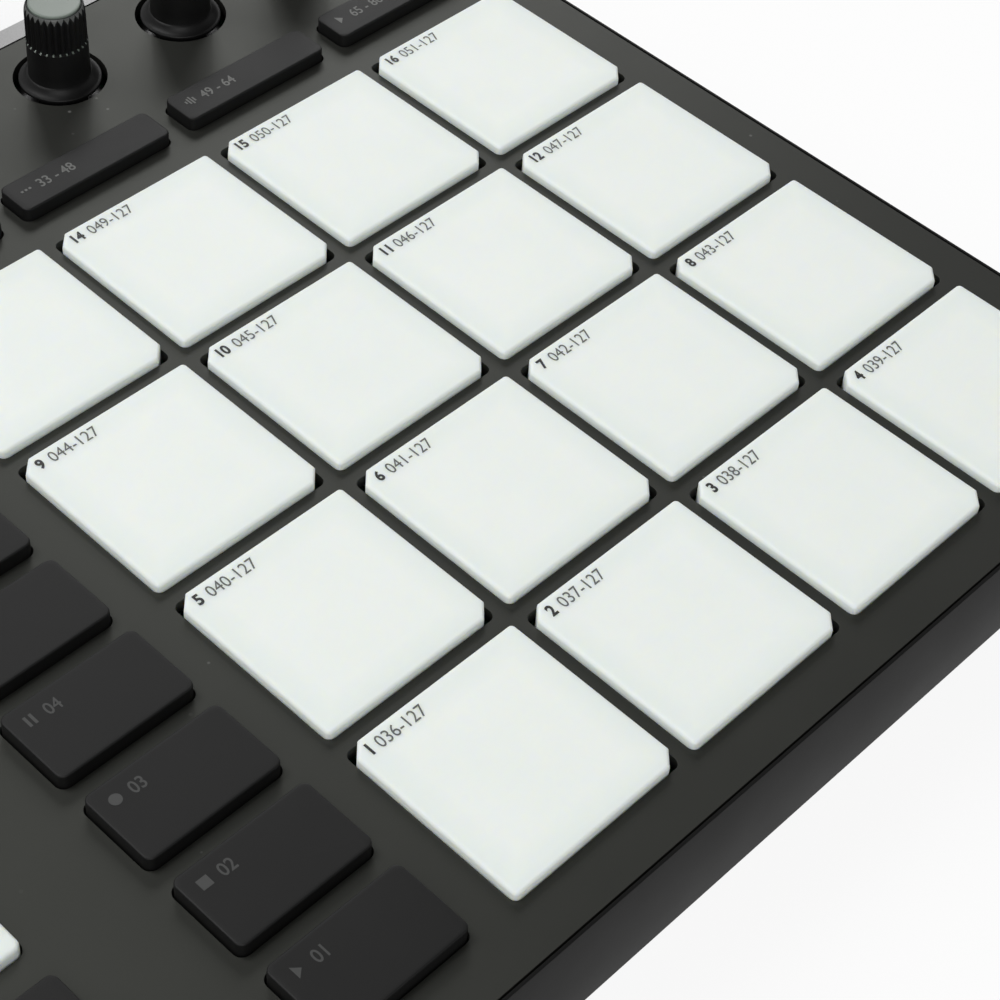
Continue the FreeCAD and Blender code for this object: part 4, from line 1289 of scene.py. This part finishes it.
@dataclass
class BackSockets:
    """The sockets and the button in the back wall, and the feet below."""

    finishes: Finishes
    jack_bush: float = 5.1 * MM
    jack_bore: float = 3.2 * MM
    jack_deep: float = 20.0 * MM
    jack_flare: float = 0.5 * MM
    jack_places: Spot = (24.0 * MM, 4.0 * MM, -16.0 * MM)
    midi_radius: float = 7.5 * MM
    midi_places: Point = (78.0 * MM, 54.0 * MM)
    midi_recess: float = 0.6 * MM
    midi_ring: Point = (5.6 * MM, 6.7 * MM)
    pin_circle: float = 3.75 * MM
    data_x: float = 104.0 * MM
    power_x: float = 122.0 * MM
    power_radius: float = 4.5 * MM
    button_x: float = 138.0 * MM
    button_radius: float = 3.5 * MM
    past: float = 1.0 * MM
    z: float = 16.0 * MM
    back: float = 150.6 * MM
    inner: float = 148.8 * MM
    floor: float = 8.2 * MM

    def round_holes(self) -> list[Point]:
        """Gives the round holes' places along the wall and their sockets' radii."""
        holes = [(x, self.jack_bush) for x in self.jack_places]
        holes += [(x, self.midi_radius) for x in self.midi_places]
        return holes + [(self.power_x, self.power_radius), (self.button_x, self.button_radius)]

    def block(self, bm: bmesh.types.BMesh, x: float, width: float, depth: float, rise: float) -> None:
        """Adds the moulded block behind a socket's nose."""
        outline = Outline(width, rise + self.z - self.floor, 0.4 * MM)
        middle = (self.floor + self.z + rise) / 2
        bar_to_back(bm, outline, x, middle, self.inner - depth, self.inner + 0.05 * MM)

    def nose(self, bm: bmesh.types.BMesh, x: float, radius: float) -> None:
        """Adds a round nose with a softened rim."""
        edge = 0.2 * MM
        profile = [(radius, self.inner - 0.1 * MM), (radius, self.back - edge),
                   (radius - 0.3 * edge, self.back - 0.3 * edge), (radius - edge, self.back)]
        turned(bm, Vector((x, 0.0, self.z)), profile, 72, to_back=True)

    def place(self, piece: bpy.types.Object, node: str, body: str, slot: str) -> None:
        """Puts a piece in place of a node."""
        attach(piece, body)
        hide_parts(node)

    def build(self) -> None:
        """Builds every socket, the button and the feet in place of their CAD nodes."""
        self.build_jacks()
        self.build_round_sockets()
        self.build_data_and_power()
        self.build_button()
        self.build_feet()
        LOG.info("sockets, button and feet built")

    def build_jacks(self) -> None:
        """Builds the three jack sockets."""
        body = bmesh.new()
        cutters = bmesh.new()
        for x in self.jack_places:
            self.block(body, x, 13.0 * MM, self.jack_deep, 6.3 * MM)
            self.nose(body, x, self.jack_bush)
            mouth = self.jack_bore + self.jack_flare
            profile = [(self.jack_bore, self.back - self.jack_deep),
                       (self.jack_bore, self.back - self.jack_flare),
                       (mouth, self.back), (mouth, self.back + self.past)]
            turned(cutters, Vector((x, 0.0, self.z)), profile, 64, to_back=True)
        noses = carved("jack_noses", body, cutters, self.finishes["socket"])
        self.place(noses, "jack_sockets", "body", "socket")

    def build_round_sockets(self) -> None:
        """Builds the two five-pin sockets with their ring slots and pin holes."""
        body = bmesh.new()
        cutters = bmesh.new()
        inner, outer = self.midi_ring
        deep = self.back - 8.0 * MM
        face = self.back - self.midi_recess
        lap = face + 0.3 * MM
        for x in self.midi_places:
            self.block(body, x, 18.0 * MM, 14.0 * MM, 7.6 * MM)
            self.nose(body, x, self.midi_radius)
            middle = Vector((x, 0.0, self.z))
            turned(cutters, middle, [(outer, face), (outer, self.back + self.past)], 72, to_back=True)
            ring_cutter(cutters, middle, [(inner, deep), (outer, deep), (outer, lap), (inner, lap)], 72)
            for step in range(5):
                angle = math.pi * (1 + step / 4)
                across = self.pin_circle * math.cos(angle)
                pin = Vector((x + across, 0.0, self.z - self.pin_circle * math.sin(angle)))
                turned(cutters, pin, [(0.7 * MM, deep), (0.7 * MM, lap)], 20, to_back=True)
        piece = carved("round_sockets", body, cutters, self.finishes["socket"])
        self.place(piece, "midi_sockets", "body", "socket")

    def build_data_and_power(self) -> None:
        """Builds the flat data socket with its tongue and the power socket with its pin."""
        body = bmesh.new()
        cutters = bmesh.new()
        x = self.data_x
        bar_to_back(body, Outline(9.4 * MM, 3.7 * MM, 1.4 * MM), x, self.z, self.inner - 7.0 * MM, self.back)
        stand = Outline(6.2 * MM, 6.2 * MM, 0.3 * MM)
        bar_to_back(body, stand, x, self.floor + 3.1 * MM, self.inner - 7.0 * MM, self.inner - 1.0 * MM)
        mouth = Outline(8.6 * MM, 2.9 * MM, 1.1 * MM)
        bar_to_back(cutters, mouth, x, self.z, self.inner - 5.5 * MM, self.back + self.past)
        power = self.power_x
        self.block(body, power, 10.0 * MM, 13.0 * MM, 5.0 * MM)
        self.nose(body, power, self.power_radius)
        well = self.back - 10.0 * MM
        turned(cutters, Vector((power, 0.0, self.z)), [(3.1 * MM, well), (3.1 * MM, self.back + self.past)],
               48, to_back=True)
        piece = carved("data_and_power_sockets", body, cutters, self.finishes["socket"])
        self.place(piece, "usb_and_power_sockets", "body", "socket")
        inner = bmesh.new()
        tongue = Outline(6.6 * MM, 0.7 * MM, 0.15 * MM)
        bar_to_back(inner, tongue, x, self.z, self.inner - 5.6 * MM, self.back - 1.0 * MM)
        pin = [(1.05 * MM, well - 0.5 * MM), (1.05 * MM, self.back - 2.0 * MM),
               (0.6 * MM, self.back - 1.5 * MM)]
        turned(inner, Vector((power, 0.0, self.z)), pin, 32, to_back=True)
        contacts = finish_mesh("socket_contacts", inner, self.finishes["metal"])
        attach(contacts, "body")

    def build_button(self) -> None:
        """Builds the round power button with a shallow dish."""
        low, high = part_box("power_button")
        middle = (low + high) / 2
        r = self.button_radius
        face = high.y
        profile = [(r, low.y), (r, self.inner - 1.6 * MM), (r + 1 * MM, self.inner - 1.6 * MM),
                   (r + 1 * MM, self.inner - 0.3 * MM), (r, self.inner - 0.3 * MM), (r, face - 0.4 * MM),
                   (r - 0.12 * MM, face - 0.12 * MM), (r - 0.4 * MM, face), (r - 0.8 * MM, face - 0.05 * MM),
                   (0.8 * MM, face - 0.25 * MM)]
        bm = bmesh.new()
        turned(bm, middle, profile, 64, to_back=True)
        button = finish_mesh("power_button_cap", bm, self.finishes["key"])
        self.place(button, "power_button", "power_button", "key")

    def build_feet(self) -> None:
        """Builds the four rubber feet with a rounded tread."""
        bm = bmesh.new()
        low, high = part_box("rubber_feet")
        r = 9.0 * MM
        for x in (low.x + r, high.x - r):
            for y in (low.y + r, high.y - r):
                profile = [(8.0 * MM, 0.0), (8.25 * MM, 0.06 * MM), (8.4 * MM, 0.25 * MM),
                           (8.95 * MM, 2.8 * MM), (9.0 * MM, 3.0 * MM)]
                turned(bm, Vector((x, y, 0.0)), profile, 64)
        feet = finish_mesh("round_feet", bm, self.finishes["foot"])
        self.place(feet, "rubber_feet", "body", "foot")


def ring_cutter(bm: bmesh.types.BMesh, middle: Vector, profile: list[Point], count: int) -> None:
    """Adds a closed ring whose section is the profile, turned about an axis towards the back."""
    rings = [[bm.verts.new(point) for point in round_ring(middle, radius, along, count, True)]
             for radius, along in profile]
    for index, ring in enumerate(rings):
        bridge(bm, ring, rings[(index + 1) % len(rings)])


@dataclass
class Studio:
    """The pale floor, the soft lights and the camera."""

    eye: Spot = (-104.7 * MM, -241.1 * MM, 273.9 * MM)
    right: Spot = (0.69596, -0.71514, 0.06484)
    down: Spot = (-0.49978, -0.54724, -0.67137)
    ahead: Spot = (0.51560, 0.43485, -0.73828)
    lens: float = 86.81
    lit: Spot = (60.0 * MM, 0.0, 26.0 * MM)

    def build(self) -> None:
        """Builds floor, world, lamps and camera, and sets the view transform."""
        self.build_floor()
        self.build_world()
        self.build_lamps()
        self.build_camera()
        bpy.context.scene.view_settings.view_transform = "Standard"
        LOG.info("studio built")

    def build_floor(self) -> None:
        """Builds a wide pale floor that shows white where no shadow falls."""
        bm = bmesh.new()
        flat_polygon(bm, bar_points(-4.0, -4.0, 8.0, 8.0), -0.1 * MM)
        sheet = NodeSheet("floor_pale")
        sheet.put("Base Color", grey(0.9))
        sheet.put("Roughness", 0.9)
        path = sheet.add("ShaderNodeLightPath")
        seen = path.outputs["Is Camera Ray"]
        for kind in ("Is Glossy Ray", "Is Transmission Ray"):
            seen = sheet.calc("MAXIMUM", seen, path.outputs[kind])
        glow = sheet.add("ShaderNodeEmission", Strength=1.0)
        mix = sheet.tree.nodes.new("ShaderNodeMixShader")
        parts = (sheet.calc("MULTIPLY", seen, 0.9), sheet.shader.outputs["BSDF"], glow.outputs["Emission"])
        for socket, value in zip(mix.inputs, parts):
            sheet.feed(socket, value)
        sheet.feed(sheet.tree.nodes["Material Output"].inputs["Surface"], mix.outputs["Shader"])
        floor = finish_mesh("floor", bm, sheet.material)

    def build_world(self) -> None:
        """Builds a white surround, bright towards the horizon and dim overhead."""
        world = bpy.data.worlds.new("studio")
        bpy.context.scene.world = world
        world.use_nodes = True
        tree = world.node_tree
        back = tree.nodes["Background"]
        back.inputs["Color"].default_value = (1.0, 1.0, 1.0, 1.0)
        place = tree.nodes.new("ShaderNodeTexCoord")
        split = tree.nodes.new("ShaderNodeSeparateXYZ")
        tree.links.new(place.outputs["Generated"], split.inputs["Vector"])
        fade = tree.nodes.new("ShaderNodeMapRange")
        fade.inputs["From Min"].default_value = 0.25
        fade.inputs["From Max"].default_value = 0.75
        fade.inputs["To Min"].default_value = 0.6
        fade.inputs["To Max"].default_value = 0.03
        tree.links.new(split.outputs["Z"], fade.inputs["Value"])
        tree.links.new(fade.outputs["Result"], back.inputs["Strength"])

    def build_lamps(self) -> None:
        """Hangs wide soft boxes behind and in front, and a small low one at the back."""
        self.lamp("rear_box", 125.0, 62.0, 1.6, 0.9, 14.5)
        self.lamp("front_box", 225.0, 40.0, 1.6, 0.9, 9.5)
        self.lamp("side_box", 42.0, 28.0, 1.5, 0.5, 3.0)
        self.lamp("back_box", 55.0, 36.5, 1.5, 0.3, 2.5)

    def lamp(self, name: str, bearing: float, height: float, distance: float, side: float,
             watts: float) -> None:
        """Hangs one square soft lamp that faces the machine.

        Args:
            name: The lamp's name.
            bearing: Its direction seen from above, in degrees from +X towards +Y.
            height: Its elevation, in degrees.
            distance: How far off it hangs.
            side: The length of its side.
            watts: Its power.
        """
        flat = math.cos(math.radians(height))
        away = Vector((flat * math.cos(math.radians(bearing)), flat * math.sin(math.radians(bearing)),
                       math.sin(math.radians(height))))
        data = bpy.data.lights.new(name, "AREA")
        data.shape = "SQUARE"
        data.size = side
        data.energy = watts
        obj = bpy.data.objects.new(name, data)
        obj.location = Vector(self.lit) + distance * away
        obj.rotation_euler = (-away).to_track_quat("-Z", "Y").to_euler()
        bpy.context.scene.collection.objects.link(obj)

    def build_camera(self) -> None:
        """Sets the camera at the photograph's angle."""
        data = bpy.data.cameras.new("camera")
        data.sensor_width = 36.0
        data.lens = self.lens
        data.clip_start = 0.01
        camera = bpy.data.objects.new("camera", data)
        rows = [
            (self.right[0], -self.down[0], -self.ahead[0], self.eye[0]),
            (self.right[1], -self.down[1], -self.ahead[1], self.eye[1]),
            (self.right[2], -self.down[2], -self.ahead[2], self.eye[2]),
            (0.0, 0.0, 0.0, 1.0),
        ]
        camera.matrix_world = Matrix(rows)
        bpy.context.scene.collection.objects.link(camera)
        bpy.context.scene.camera = camera


def main() -> None:
    """Loads the frame and builds every sub-assembly in order."""
    logging.basicConfig(level=logging.INFO)
    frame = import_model()
    nodes = frame["nodes"]
    finishes = Finishes()
    finishes.make_all()
    CaseWork(finishes).dress(nodes)
    CaseShell(finishes).build()
    BackSockets(finishes).build()
    keys = KeyWork(finishes)
    PanelSheet(finishes, keys.places()).build()
    PadBlock(finishes).build()
    keys.build()
    KnobRow(finishes).build()
    MasterKnob(finishes).build()
    Studio().build()


if __name__ == "__main__":
    main()
